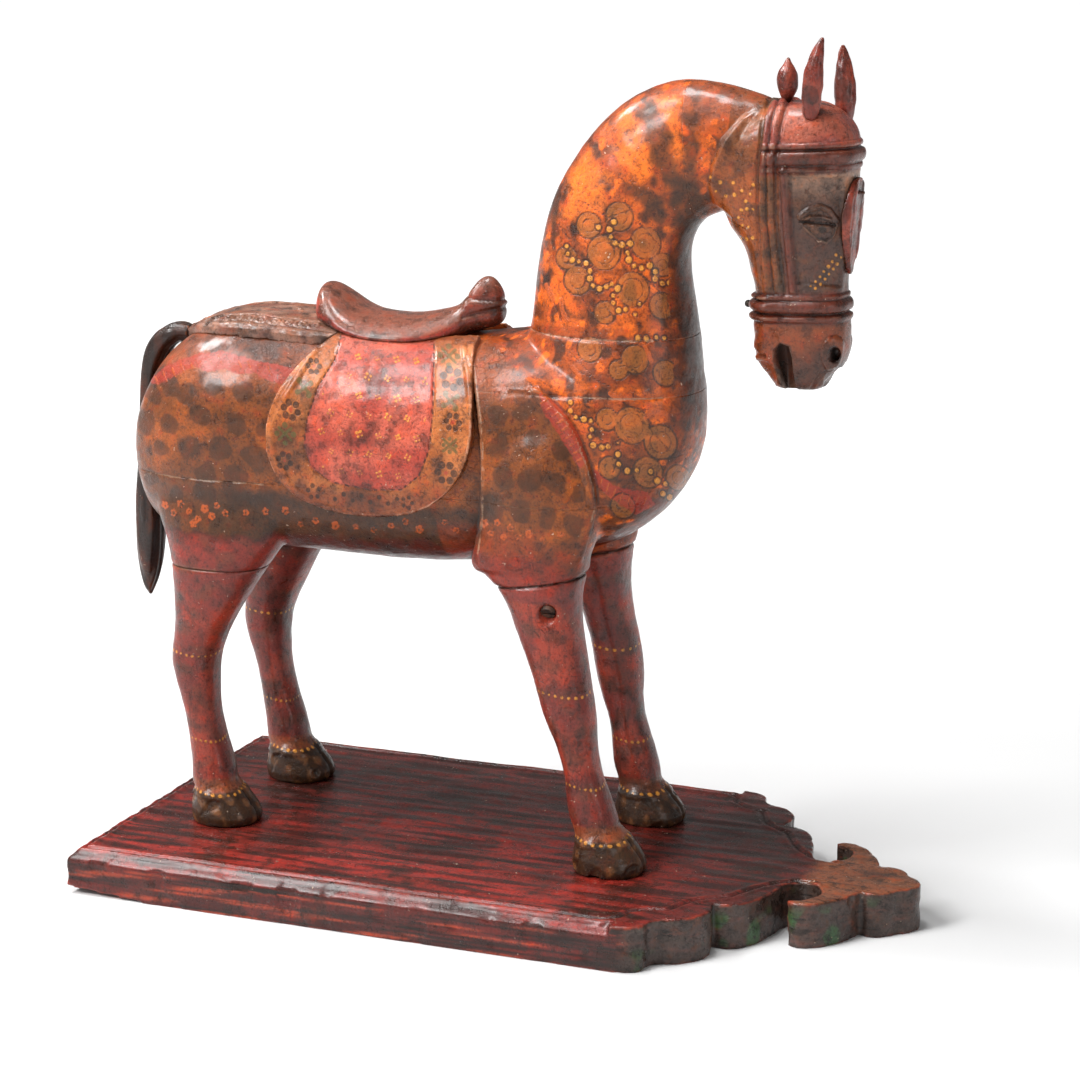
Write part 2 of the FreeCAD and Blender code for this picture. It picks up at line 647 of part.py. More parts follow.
def floor_screws():
    """Head place of each screw that runs from below the board into a hoof."""
    places = []
    for end in LEGS:
        for side in (RIGHT, LEFT):
            x = LEGS[end]["hoof"] + LEGS[end]["lean"][side]
            places.append(Vec(x, MIDPLANE_Y + side * LEG_SPREAD, FLOOR_SCREW_HEAD_Z))
    return places


NAIL_DIAMETER = 2.5
NAIL_HEAD_DIAMETER = 5.0
NAIL_LENGTH = 16.0
NAIL_PLACE = Vec(164.0, MIDPLANE_Y, 423.0)
PENDANT_PIN_DIAMETER = 2.5
PENDANT_PIN_LENGTH = 18.0
PENDANT_PIN_MIDDLE = Vec(227.0, MIDPLANE_Y, 500.0)


def nail(gap=0.0):
    """Nail at the back of the noseband, its head standing clear of the wood."""
    start = NAIL_PLACE - ALONG * 6.0
    shank = Part.makeCylinder(NAIL_DIAMETER / 2.0 + gap, NAIL_LENGTH + gap, start, ALONG)
    return shank.fuse(Part.makeSphere(NAIL_HEAD_DIAMETER / 2.0, start))


def pendant_pin(gap=0.0):
    return peg(PENDANT_PIN_MIDDLE, ALONG, PENDANT_PIN_DIAMETER + 2 * gap, PENDANT_PIN_LENGTH + 2 * gap)


# ---- assembly ----
def build():
    nodes = {}
    corners = [(end, side) for end in LEGS for side in (RIGHT, LEFT)]
    neck_mass = neck_column()
    body_mass = trunk().fuse([neck_mass] + [limb_root(end, side) for end, side in corners])

    floor_places = floor_screws()
    floor_room = [screw_room(place, UP, FLOOR_SCREW_LENGTH, FLOOR_SCREW_HEAD_Z) for place in floor_places]
    pin_room = [cross_pin(end, side, GLUE_GAP) for end, side in corners]
    axis = Vec(LEG_SCREW_AXIS)
    axis.normalize()
    leg_screw_room = screw_room(LEG_SCREW_HEAD, axis, LEG_SCREW_LENGTH, 2 * LEG_SCREW_LENGTH)
    body_peg_room = pegs(body_pegs(), GLUE_GAP)
    neck_peg_room = pegs(neck_pegs(), GLUE_GAP)
    head_peg_room = pegs(head_pegs(), GLUE_GAP)

    nodes["base_board"] = board().cut(floor_room)

    plug_blanks = pegs(plugs())
    plug_solids = []
    for end, side in corners:
        blank = leg(end, side)
        plug_solids += [solid for plug in plug_blanks for solid in blank.common(plug).Solids]
        drilled = blank.cut(plug_blanks + pin_room + floor_room)
        if (end, side) == ("front", RIGHT):
            drilled = drilled.cut(leg_screw_room)
        nodes[SIDE_NAMES[side] + "_" + end + "_leg"] = one_solid(drilled)
    nodes["leg_plugs"] = Part.makeCompound(plug_solids)

    flaps = {side: one_solid(flap(side).cut(body_mass)) for side in (RIGHT, LEFT)}
    cover = one_solid(rump_cover().cut([body_mass] + list(flaps.values())))
    bare_tail = tail().cut([body_mass, cover])
    nodes["tail"] = one_solid(bare_tail.fuse(tail_tenon()).cut(cover))

    lower_body = body_mass.common(layer(0.0, LAMINATION_Z))
    nodes["leg_pins"] = Part.makeCompound([one_solid(lower_body.common(cross_pin(end, side)))
                                           for end, side in corners])
    mortises = [tenon(end, side, GLUE_GAP) for end, side in corners]
    flap_peg_room = pegs(flap_pegs(), GLUE_GAP)
    nodes["torso_lower"] = one_solid(lower_body.cut(mortises + pin_room + body_peg_room + [leg_screw_room]))

    withers_space = layer(WITHERS_SEAM_Z, NECK_SEAM_Z, WITHERS_BACK_X)
    upper_body = body_mass.common(layer(LAMINATION_Z, NECK_SEAM_Z)).cut(withers_space)
    seat_peg_room = pegs(seat_pegs(), GLUE_GAP)
    cover_peg_room = pegs(cover_pegs(), GLUE_GAP)
    upper_cuts = body_peg_room + neck_peg_room + seat_peg_room + cover_peg_room + flap_peg_room
    nodes["torso_upper"] = one_solid(upper_body.cut(upper_cuts + [tail_tenon(GLUE_GAP)]))
    nodes["withers_block"] = one_solid(body_mass.common(withers_space).cut(neck_peg_room))

    head_space = space_ahead_of_head_seam()
    neck_above = neck_mass.common(layer(NECK_SEAM_Z, FAR))
    nodes["neck"] = one_solid(neck_above.cut([head_space] + neck_peg_room + head_peg_room))
    blank = head_mass().fuse(neck_above.common(head_space))
    ear_room = [set_tenon(EAR_ROOTS[side], EAR_TENON_DIAMETER, GLUE_GAP) for side in (RIGHT, LEFT)]
    bud_room = set_tenon(BUD_ROOT, EAR_TENON_DIAMETER, GLUE_GAP)
    small_room = [nail(GLUE_GAP), pendant_pin(GLUE_GAP), bud_room]
    nodes["head"] = one_solid(blank.cut(head_peg_room + ear_room + small_room))

    for side in (RIGHT, LEFT):
        above = ear(side).cut(blank)
        root = set_tenon(EAR_ROOTS[side], EAR_TENON_DIAMETER)
        nodes[SIDE_NAMES[side] + "_ear"] = one_solid(above.fuse(root))
    nodes["poll_bud"] = one_solid(bud().cut(blank).fuse(set_tenon(BUD_ROOT, EAR_TENON_DIAMETER)))
    nodes["forehead_pendant"] = one_solid(pendant().cut([blank, pendant_pin(GLUE_GAP)]))

    for side in (RIGHT, LEFT):
        nodes[SIDE_NAMES[side] + "_saddle_flap"] = one_solid(flaps[side].cut(flap_peg_room))
    nodes["rump_cover"] = one_solid(cover.cut(cover_peg_room))
    nodes["saddle_seat"] = one_solid(seat().cut([body_mass, cover] + list(flaps.values()) + seat_peg_room))

    nodes["body_pegs"] = Part.makeCompound(pegs(body_pegs()))
    nodes["neck_pegs"] = Part.makeCompound(pegs(neck_pegs()))
    nodes["head_pegs"] = Part.makeCompound(pegs(head_pegs()))
    nodes["saddle_pegs"] = Part.makeCompound(pegs(seat_pegs()))
    skinned = trunk(LEATHER_RELIEF)
    nodes["flap_pegs"] = Part.makeCompound([one_solid(p.common(skinned)) for p in pegs(flap_pegs())])
    nodes["cover_pegs"] = Part.makeCompound([one_solid(p.common(skinned)) for p in pegs(cover_pegs())])
    nodes["leg_screw"] = screw(LEG_SCREW_HEAD, axis, LEG_SCREW_LENGTH)
    nodes["floor_screws"] = Part.makeCompound([screw(place, UP, FLOOR_SCREW_LENGTH)
                                               for place in floor_places])
    nodes["noseband_nail"] = nail()
    nodes["pendant_pin"] = pendant_pin()
    return nodes


for name, shape in build().items():
    print(name, shape.isValid(), len(shape.Solids), round(shape.Volume))
    shape.exportStep("parts/" + name + ".step")
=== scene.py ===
import math

import bmesh
import bpy
import numpy as np
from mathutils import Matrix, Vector


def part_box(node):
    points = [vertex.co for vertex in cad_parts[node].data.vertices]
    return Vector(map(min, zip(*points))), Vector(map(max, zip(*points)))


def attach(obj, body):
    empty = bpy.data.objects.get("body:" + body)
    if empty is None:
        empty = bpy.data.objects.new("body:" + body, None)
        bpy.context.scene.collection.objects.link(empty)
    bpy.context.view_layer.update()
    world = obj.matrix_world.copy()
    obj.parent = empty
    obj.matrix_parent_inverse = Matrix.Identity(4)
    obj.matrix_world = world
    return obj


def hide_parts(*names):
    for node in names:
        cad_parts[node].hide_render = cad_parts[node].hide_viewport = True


# Looks of a carved and painted wooden horse on a scalloped board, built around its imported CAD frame.
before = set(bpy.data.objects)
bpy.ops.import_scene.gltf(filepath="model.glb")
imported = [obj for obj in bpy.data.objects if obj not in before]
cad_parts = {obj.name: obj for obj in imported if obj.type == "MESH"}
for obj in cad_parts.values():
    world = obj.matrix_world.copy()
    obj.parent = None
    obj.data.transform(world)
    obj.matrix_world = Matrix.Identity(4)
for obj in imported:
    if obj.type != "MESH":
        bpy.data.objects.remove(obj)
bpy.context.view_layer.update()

# ---- sizes, in millimetres ----
MM = 0.001
MIDPLANE = 8.0
BOARD_TOP = 32.0
HOOF_TOP = BOARD_TOP + 25.0
LEG_SPREAD = 56.0
FAN = (701.6, -1773.6, 704.2)     # side patterns fan out from here, mirrored on the left side
FRONT_JOINT, FRONT_JOINT_SLOPE = 228.0, 0.16
HIND_JOINT = 222.0
LAMINATION = 287.0
WITHERS_SEAM, WITHERS_BACK = 362.0, -22.0
NECK_SEAM = 400.0
HEAD_SEAM_X, HEAD_SEAM_Z, HEAD_SEAM_TILT = 125.0, 474.0, math.radians(5.0)
BEHIND_MUZZLE_X = 145.0
FAR = 900.0
COARSE = 1.0


# ---- meshes ----
def cad_arrays(nodes):
    """Points in mm and triangles of some CAD nodes."""
    points, faces, base = [], [], 0
    for node in nodes:
        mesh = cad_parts[node].data
        mesh.calc_loop_triangles()
        co = np.empty(len(mesh.vertices) * 3, np.float32)
        mesh.vertices.foreach_get("co", co)
        tri = np.empty(len(mesh.loop_triangles) * 3, np.int32)
        mesh.loop_triangles.foreach_get("vertices", tri)
        points.append(co.reshape(-1, 3) / MM)
        faces.append(tri.reshape(-1, 3) + base)
        base += len(mesh.vertices)
    return np.vstack(points), np.vstack(faces)


def new_object(name, points, faces):
    mesh = bpy.data.meshes.new(name)
    corners = faces.tolist() if isinstance(faces, np.ndarray) else faces
    mesh.from_pydata(np.asarray(points, float) * MM, [], corners)
    mesh.validate()
    obj = bpy.data.objects.new(name, mesh)
    bpy.context.scene.collection.objects.link(obj)
    return obj


def apply_modifiers(obj):
    bpy.context.view_layer.update()
    depsgraph = bpy.context.evaluated_depsgraph_get()
    made = bpy.data.meshes.new_from_object(obj.evaluated_get(depsgraph))
    obj.modifiers.clear()
    old, obj.data = obj.data, made
    bpy.data.meshes.remove(old)
    return obj


def remeshed(name, nodes, voxel):
    """One closed even mesh of some CAD nodes."""
    obj = new_object(name, *cad_arrays(nodes))
    remesh = obj.modifiers.new("remesh", "REMESH")
    remesh.mode = "VOXEL"
    remesh.voxel_size = voxel * COARSE * MM
    remesh.use_smooth_shade = True
    return apply_modifiers(obj)


def read(obj):
    """Points in mm and normals."""
    count = len(obj.data.vertices)
    co, normal = np.empty(count * 3, np.float32), np.empty(count * 3, np.float32)
    obj.data.vertices.foreach_get("co", co)
    obj.data.vertex_normals.foreach_get("vector", normal)
    return co.reshape(-1, 3).astype(float) / MM, normal.reshape(-1, 3).astype(float)


def write(obj, points):
    obj.data.vertices.foreach_set("co", (points * MM).astype(np.float32).ravel())
    obj.data.update()


def relax(obj, weight, rounds):
    """Evens out the surface where weight, from 0 to 1, says so."""
    points, _ = read(obj)
    pairs = np.empty(len(obj.data.edges) * 2, np.int32)
    obj.data.edges.foreach_get("vertices", pairs)
    a, b = pairs.reshape(-1, 2).T
    count = len(points)
    degree = np.maximum(np.bincount(a, minlength=count) + np.bincount(b, minlength=count), 1)
    for _ in range(rounds):
        for axis in range(3):
            line = points[:, axis]
            total = np.bincount(a, line[b], count) + np.bincount(b, line[a], count)
            points[:, axis] = line + weight * (total / degree - line)
    write(obj, points)


def largest_shell(obj):
    """Drops loose inner shells, and keeps the one with the most points."""
    pairs = np.empty(len(obj.data.edges) * 2, np.int32)
    obj.data.edges.foreach_get("vertices", pairs)
    a, b = pairs.reshape(-1, 2).T
    label = np.arange(len(obj.data.vertices))
    while True:
        low = np.minimum(label[a], label[b])
        before = label.copy()
        np.minimum.at(label, a, low)
        np.minimum.at(label, b, low)
        label = label[label]
        if np.array_equal(before, label):
            break
    names, sizes = np.unique(label, return_counts=True)
    if len(names) == 1:
        return
    bm = bmesh.new()
    bm.from_mesh(obj.data)
    bm.verts.ensure_lookup_table()
    keep = names[sizes.argmax()]
    bmesh.ops.delete(bm, geom=[bm.verts[i] for i in np.flatnonzero(label != keep)], context="VERTS")
    bm.to_mesh(obj.data)
    bm.free()


def hexahedron(low, high, slope_top=0.0, slope_bottom=0.0):
    """A box whose top and bottom may slope along X. Corners in mm."""
    points = []
    for x in (low[0], high[0]):
        for y in (low[1], high[1]):
            points.append((x, y, low[2] + slope_bottom * x))
            points.append((x, y, high[2] + slope_top * x))
    faces = [(0, 1, 3, 2), (4, 6, 7, 5), (0, 4, 5, 1), (2, 3, 7, 6), (0, 2, 6, 4), (1, 5, 7, 3)]
    return new_object("space", points, faces)


def prism(outline, y_low, y_high):
    """A straight column along Y over an X-Z outline, in mm."""
    n = len(outline)
    points = [(x, y, z) for y in (y_low, y_high) for x, z in outline]
    sides = [(i, (i + 1) % n, n + (i + 1) % n, n + i) for i in range(n)]
    return new_object("space", points, sides + [tuple(range(n))[::-1], tuple(range(n, 2 * n))])


def outward(obj):
    bm = bmesh.new()
    bm.from_mesh(obj.data)
    bmesh.ops.recalc_face_normals(bm, faces=bm.faces)
    bm.to_mesh(obj.data)
    bm.free()
    return obj


def copy_of(obj, name):
    new = bpy.data.objects.new(name, obj.data.copy())
    bpy.context.scene.collection.objects.link(new)
    return new


def boolean(obj, cutter, operation):
    outward(cutter)
    step = obj.modifiers.new("cut", "BOOLEAN")
    step.operation = operation
    step.solver = "MANIFOLD"
    step.object = cutter
    apply_modifiers(obj)
    bpy.data.objects.remove(cutter)
    return obj


# ---- fields over the surface: positive inside, in mm ----
def side_pattern(points):
    """Pattern coordinates: the side seen from the right, and the left side mirrored."""
    near = MIDPLANE - np.abs(points[:, 1] - MIDPLANE)
    t = (MIDPLANE - FAN[1]) / (near - FAN[1])
    return FAN[0] + t * (points[:, 0] - FAN[0]), FAN[2] + t * (points[:, 2] - FAN[2])


def stroke(u, v, line):
    """Distance to a polyline, positive ahead of it when it is drawn downwards."""
    best, sign = np.full(len(u), 1e3), np.ones(len(u))
    for (a, b), (c, d) in zip(line[:-1], line[1:]):
        du, dv = c - a, d - b
        t = np.clip(((u - a) * du + (v - b) * dv) / (du * du + dv * dv), 0, 1)
        away = np.hypot(u - a - t * du, v - b - t * dv)
        cross = du * (v - b) - dv * (u - a)
        closer = away < best
        best = np.where(closer, away, best)
        sign = np.where(closer, np.where(cross < 0, -1.0, 1.0), sign)
    return best * sign


def area(u, v, outline):
    """Distance to the edge of a closed outline, positive inside."""
    inside = np.zeros(len(u), bool)
    closed = list(outline) + [outline[0]]
    for (a, b), (c, d) in zip(closed[:-1], closed[1:]):
        if b == d:
            continue
        crossing = (b > v) != (d > v)
        inside ^= crossing & (u < (c - a) * (v - b) / (d - b) + a)
    away = np.abs(stroke(u, v, closed))
    return np.where(inside, away, -away)


def nowhere(points):
    """A field that is outside everywhere."""
    return np.full(len(points), -1e3)


def uneven(a, b, share):
    """A size near 1 that differs from place to place."""
    return 1 - share + 2 * share * ((a * 7.31 + b * 3.17) % 1)


def spots(u, v, centres, radius, share=0.0):
    best = nowhere(u)
    for a, b in centres:
        best = np.maximum(best, radius * uneven(a, b, share) - np.hypot(u - a, v - b))
    return best


def ramp(value, width):
    """0 to 1 as value goes from -width to width."""
    t = np.clip(value / width * 0.5 + 0.5, 0, 1)
    return t * t * (3 - 2 * t)


def dome(t):
    """A round profile: 1 at 0, 0 at 1 and beyond."""
    return np.sqrt(np.clip(1 - t * t, 0, 1))


def wobble(points, wave, seed, waves=14):
    """Smooth unevenness, mostly between -1 and 1."""
    rng = np.random.default_rng(seed)
    total = np.zeros(len(points))
    for _ in range(waves):
        direction = rng.normal(size=3)
        direction /= np.linalg.norm(direction)
        wave_number = 2 * math.pi / (wave * rng.uniform(0.7, 1.4))
        total += np.sin(points @ direction * wave_number + rng.uniform(0, 2 * math.pi))
    return total / math.sqrt(waves)


def linear(code):
    """Linear colour of an sRGB code such as #a0522d."""
    values = [int(code[i:i + 2], 16) / 255 for i in (1, 3, 5)]
    return np.array([c / 12.92 if c < 0.04045 else ((c + 0.055) / 1.055) ** 2.4 for c in values])


class Coat:
    """A base colour and the colours laid over it, each where its mask, from 0 to 1, says so."""

    def __init__(self, points, code):
        self.tint = np.tile(linear(code), (len(points), 1))

    def add(self, code, mask):
        mask = np.clip(mask, 0, 1)[:, None]
        self.tint = self.tint * (1 - mask) + linear(code) * mask


# ---- carving of the horse ----
JAW = [(168, 557), (152, 547), (139, 532), (131, 514), (129, 500), (133, 488), (146, 480)]
STRAP = [(178, 564), (172, 542), (169, 512), (170, 480), (173, 455), (177, 428)]
PANEL_BAR = [(180.5, 513), (184, 470), (188.5, 432)]
PANEL_TOP = [(178, 512), (222, 512)]
PANEL = [(184, 509), (221, 509), (222.5, 470), (223, 437), (191, 437), (187, 470)]
EYE = [
    (192, 479), (199, 482), (207, 482.5), (214, 481), (218, 478), (216, 471), (211, 466), (205, 468),
    (198, 473),
]
EYE_CREASE = [(192, 479), (205, 478.5), (217, 478)]
BROW = [(192, 482), (198, 487), (206, 489.5), (213, 487), (218, 481)]
STEP = [
    (-45, 388), (-42, 362), (-39, 340), (-37, 320), (-36, 300), (-36, 280), (-37, 260), (-39, 243),
    (-43, 220),
]
RIB = [
    (6, 354), (17, 344), (27, 335), (35, 322), (42, 305), (47, 290), (49, 276), (46, 262), (42, 248),
    (38, 234),
]
MOUTH = [
    (176.5, 393), (181, 398), (187.5, 396), (189.5, 388), (190.5, 372), (194, 350), (186, 350),
    (182, 366), (178, 377), (176, 386),
]
MOUTH_CORNER = [(160, 394), (166, 389), (170, 388)]
LIP = [(203, 368), (207, 375), (213, 380), (221, 384)]
NOSTRIL = (218.0, 392.0)
# Z of the middle of each ridge, its half height, how far it stands out
BROWBAND = [(531.0, 2.2, 1.4), (523.5, 4.8, 3.2), (516.6, 2.2, 1.4)]
NOSEBAND = [(431.5, 1.8, 1.3), (425.2, 4.2, 3.0), (417.4, 2.6, 1.8)]
BAND_TILT = 0.04                  # both bands climb this much along X
BROWBAND_START, NOSEBAND_START = 176, 150
MUZZLE_TOP = 413


def along_bands(x, z):
    return z - BAND_TILT * (x - 195)


def head_relief(points, normals, u, v):
    z = points[:, 2]
    x = points[:, 0]
    height = np.zeros(len(points))
    side = ramp(np.abs(normals[:, 1]) - 0.35, 0.2)
    jaw = stroke(u, v, JAW)
    near_jaw = side * ramp(v - 476, 6) * ramp(546 - v, 12)
    height += near_jaw * 2.4 * ramp(jaw - 1.0, 1.6) * np.exp(-np.maximum(jaw, 0) / 16)
    height -= near_jaw * 2.2 * ramp(-jaw - 0.6, 1.6) * np.exp(-np.maximum(-jaw, 0) / 9)
    strap = stroke(u, v, STRAP)
    on_strap = ramp(v - 431, 3) * np.where(v > 560, np.clip((572 - v) / 8, 0, 1), 1)
    height += on_strap * 1.9 * np.maximum(dome((strap + 3.0) / 2.3), dome((strap - 2.6) / 2.5))
    height -= on_strap * 0.9 * dome((np.abs(strap) - 6.4) / 1.5)
    tilted = along_bands(x, z)
    at_back = 2.0 * ramp(-normals[:, 0] - 0.2, 0.2)
    for bands, reach, extra, groove, half_groove in (
            (BROWBAND, ramp(x - BROWBAND_START, 3), 0.0, 528.6, 1.2),
            (NOSEBAND, ramp(x - NOSEBAND_START, 4), at_back, 420.0, 1.4)):
        for middle, half, rise in bands:
            height += (rise + extra) * reach * dome((tilted - middle) / half)
        height -= reach * dome((tilted - groove) / half_groove)
    height += 2.5 * ramp(-normals[:, 0] - 0.3, 0.15) * ramp(v - 405, 6) * ramp(480 - v, 6)
    height += side * 2.0 * dome(stroke(u, v, PANEL_BAR) / 2.6) * ramp(v - 431, 2)
    height += side * 1.4 * dome(stroke(u, v, PANEL_TOP) / 2.4)
    height -= side * 1.6 * ramp(area(u, v, PANEL) - 0.4, 1.1)
    height += side * 1.1 * dome(area(u, v, EYE) / 1.4)
    height += side * 1.3 * dome(np.hypot((u - 208) / 8.0, (v - 474.5) / 6.0))
    for line, rise, half in ((EYE_CREASE, -1.5, 1.2), (BROW, 1.6, 2.0),
                             (LIP, -1.2, 1.6), (MOUTH_CORNER, -2.0, 1.8)):
        height += side * rise * dome(stroke(u, v, line) / half)
    height -= 3.6 * dome(np.hypot((u - 223) / 12, (v - 372) / 12))
    height -= 2.4 * dome(np.hypot((u - 168) / 11, (v - 374) / 12))
    rim = np.hypot(u - NOSTRIL[0], (v - NOSTRIL[1]) / 1.35)
    height += side * 1.8 * dome((rim - 6.5) / 3.0)
    height += side * 1.6 * dome(np.hypot((u - 171) / 10, (v - 392) / 16))
    return height * ramp(x - 120, 6)


def body_relief(points, normals, u, v):
    z = points[:, 2]
    side = ramp(np.abs(normals[:, 1]) - 0.3, 0.25)
    height = np.zeros(len(points))
    step = stroke(u, v, STEP)
    tall = ramp(v - 221, 3) * np.clip((395 - v) / 40, 0, 1)
    height += side * tall * 4.0 * ramp(step - 0.6, 1.4) * np.exp(-np.maximum(step, 0) / 30)
    height -= side * tall * 5.0 * ramp(-step - 0.4, 1.4) * np.exp(-np.maximum(-step, 0) / 10)
    rib = stroke(u, v, RIB)
    low = np.abs(points[:, 1] - MIDPLANE) > 12
    fall = ramp(v - 236, 5) * np.clip((362 - v) / 10, 0, 1) * low
    height += fall * 1.8 * dome((rib + 1.5) / 4.0)
    height -= fall * 3.4 * ramp(rib - 2.2, 1.8) * np.exp(-np.maximum(rib, 0) / 14)
    return height * (z > 200)


def seam_relief(points):
    x, _, z = points.T
    depth = np.zeros(len(points))
    seams = [
        (z - NECK_SEAM, (x < 103) & (x > -20), 0.9, 1.1),
        (z - WITHERS_SEAM, (x > 10) & (x < 112), 0.8, 1.0),
        (z - LAMINATION, (x < -150) & (x > -300), 0.6, 0.9),
        (z - HIND_JOINT, x < -150, 0.9, 1.0),
        (z - FRONT_JOINT - FRONT_JOINT_SLOPE * x, (x > -60) & (x < 100) & (z < 250), 1.5, 1.4),
    ]
    for away, where, cut, width in seams:
        depth -= cut * np.exp(-(away / width) ** 2) * where
    return depth


def hoof_relief(points, normals):
    _, y, z = points.T
    depth = np.zeros(len(points))
    inner = np.abs(np.abs(y - MIDPLANE) - LEG_SPREAD)
    front = ramp(normals[:, 0] - 0.35, 0.25)
    on_hoof = ramp(HOOF_TOP - z, 2)
    depth -= on_hoof * front * 1.8 * np.exp(-(inner / 1.5) ** 2)
    depth += on_hoof * 0.8 * dome((z - HOOF_TOP + 2.5) / 2.6)
    chip = wobble(points, 16, 41)
    depth -= on_hoof * 1.2 * ramp(chip - 1.0, 0.2)
    grooves = np.sin(z * 1.35 + wobble(points, 20, 42))
    return depth + on_hoof * 0.07 * grooves


def pocket_relief(points):
    """Rims round the plugs, the pin and the screw of the right front leg."""
    depth = np.zeros(len(points))
    x, y, z = points.T
    for cx, cz, radius in ((57, 148, 5.0), (65, 120, 4.6), (19, 249, 4.5)):
        away = np.hypot(x - cx, z - cz)
        depth -= 0.7 * np.exp(-((away - radius) / 0.8) ** 2) * (y < -40)
    return depth


def horse_relief(points, normals):
    u, v = side_pattern(points)
    height = 0.35 * wobble(points, 42, 1) + 0.08 * wobble(points, 13, 2) + 0.04 * wobble(points, 7, 3)
    height += head_relief(points, normals, u, v) + body_relief(points, normals, u, v)
    return height + seam_relief(points) + hoof_relief(points, normals) + pocket_relief(points)


HORSE_NODES = ["torso_lower", "torso_upper", "withers_block", "neck", "head", "leg_plugs", "leg_pins",
               "right_front_leg", "left_front_leg", "right_hind_leg", "left_hind_leg"]
ALSO = {         # small CAD nodes that a carved piece takes in
    "right_front_leg": "leg_plugs", "torso_lower": "leg_pins", "right_saddle_flap": "flap_pegs",
    "rump_cover": "cover_pegs", "forehead_pendant": "pendant_pin",
}


def stands_for(name):
    return [name, ALSO[name]] if name in ALSO else [name]


def carved(name, nodes, voxel):
    horse = remeshed(name, nodes, voxel)
    largest_shell(horse)
    points, _ = read(horse)
    x, _, z = points.T
    weight = np.zeros(len(points))
    weight = np.maximum(weight, 0.6 * ramp(14 - np.abs(z - 396), 10) * (x < 130))
    weight = np.maximum(weight, 0.6 * (z > 205) * (z < 345))
    weight = np.maximum(weight, 0.6 * ramp(16 - np.abs(x - 132), 8) * (z > 470))
    weight = np.maximum(weight, 0.25)
    weight *= 1 - 0.8 * (z < 60)
    relax(horse, weight, round(8 * (1.5 / voxel) ** 2))
    points, normals = read(horse)
    write(horse, points + normals * horse_relief(points, normals)[:, None])
    return horse


def on_side(u, v, y):
    """X and Z at depth y of a pattern point on the right side."""
    t = (y - FAN[1]) / (MIDPLANE - FAN[1])
    return FAN[0] + t * (u - FAN[0]), FAN[2] + t * (v - FAN[2])


def cut_mouth(head):
    for side in (-1, 1):
        near, inner = MIDPLANE + side * 60, MIDPLANE + side * 4.0
        outline = [on_side(u, v, MIDPLANE - 18) for u, v in MOUTH]
        boolean(head, prism(outline, min(near, inner), max(near, inner)), "DIFFERENCE")
        nx, nz = on_side(NOSTRIL[0], NOSTRIL[1], MIDPLANE - 14)
        ring = [(nx + 3.6 * math.cos(a) + 0.8 * math.sin(a), nz + 5.2 * math.sin(a))
                for a in np.linspace(0, 2 * math.pi, 15)[:-1]]
        inner = MIDPLANE + side * 5.0
        boolean(head, prism(ring, min(near, inner), max(near, inner)), "DIFFERENCE")
    return head


def leg_space(end, side, gap):
    y_low, y_high = (MIDPLANE, FAR) if side > 0 else (-FAR, MIDPLANE)
    if end == "front":
        return hexahedron((-100, y_low, -5), (150, y_high, FRONT_JOINT + gap),
                          slope_top=FRONT_JOINT_SLOPE)
    return hexahedron((-FAR, y_low, -5), (-100, y_high, HIND_JOINT + gap))


def head_space(gap):
    top_shift = math.tan(HEAD_SEAM_TILT) * (700 - HEAD_SEAM_Z)
    left, low = HEAD_SEAM_X - gap, HEAD_SEAM_Z - gap
    outline = [(BEHIND_MUZZLE_X, 330), (BEHIND_MUZZLE_X, low), (left, low),
               (left - top_shift, 700), (400, 700), (400, 330)]
    return prism(outline, -300, 300)


def horse_pieces():
    """The carved horse, cut along its joints into the pieces that stand for the CAD nodes."""
    horse = carved("horse", HORSE_NODES, 1.35)
    gap, tight = 0.12, 0.02
    pieces = {}
    for end in ("front", "hind"):
        for side, word in ((-1, "right"), (1, "left")):
            name = word + "_" + end + "_leg"
            pieces[name] = boolean(copy_of(horse, name), leg_space(end, side, -gap), "INTERSECT")
    lower = boolean(copy_of(horse, "torso_lower"),
                    hexahedron((-FAR, -FAR, 100), (FAR, FAR, LAMINATION - tight)), "INTERSECT")
    for end in ("front", "hind"):
        for side in (-1, 1):
            lower = boolean(lower, leg_space(end, side, gap), "DIFFERENCE")
    pieces["torso_lower"] = lower
    rear = hexahedron((-FAR, -FAR, LAMINATION + tight), (140, FAR, NECK_SEAM - tight))
    upper = boolean(copy_of(horse, "torso_upper"), rear, "INTERSECT")
    withers = hexahedron((WITHERS_BACK - tight, -FAR, WITHERS_SEAM - tight), (FAR, FAR, FAR))
    pieces["torso_upper"] = boolean(upper, withers, "DIFFERENCE")
    block = hexahedron((WITHERS_BACK + tight, -FAR, WITHERS_SEAM + tight),
                       (140, FAR, NECK_SEAM - tight))
    pieces["withers_block"] = boolean(copy_of(horse, "withers_block"), block, "INTERSECT")
    above = hexahedron((-FAR, -FAR, NECK_SEAM + tight), (BEHIND_MUZZLE_X + 60, FAR, FAR))
    neck = boolean(copy_of(horse, "neck"), above, "INTERSECT")
    pieces["neck"] = boolean(neck, head_space(tight), "DIFFERENCE")
    bpy.data.objects.remove(horse)
    fine = carved("fine_head", ["neck", "head"], 0.75)
    pieces["head"] = cut_mouth(boolean(fine, head_space(-tight), "INTERSECT"))
    return pieces


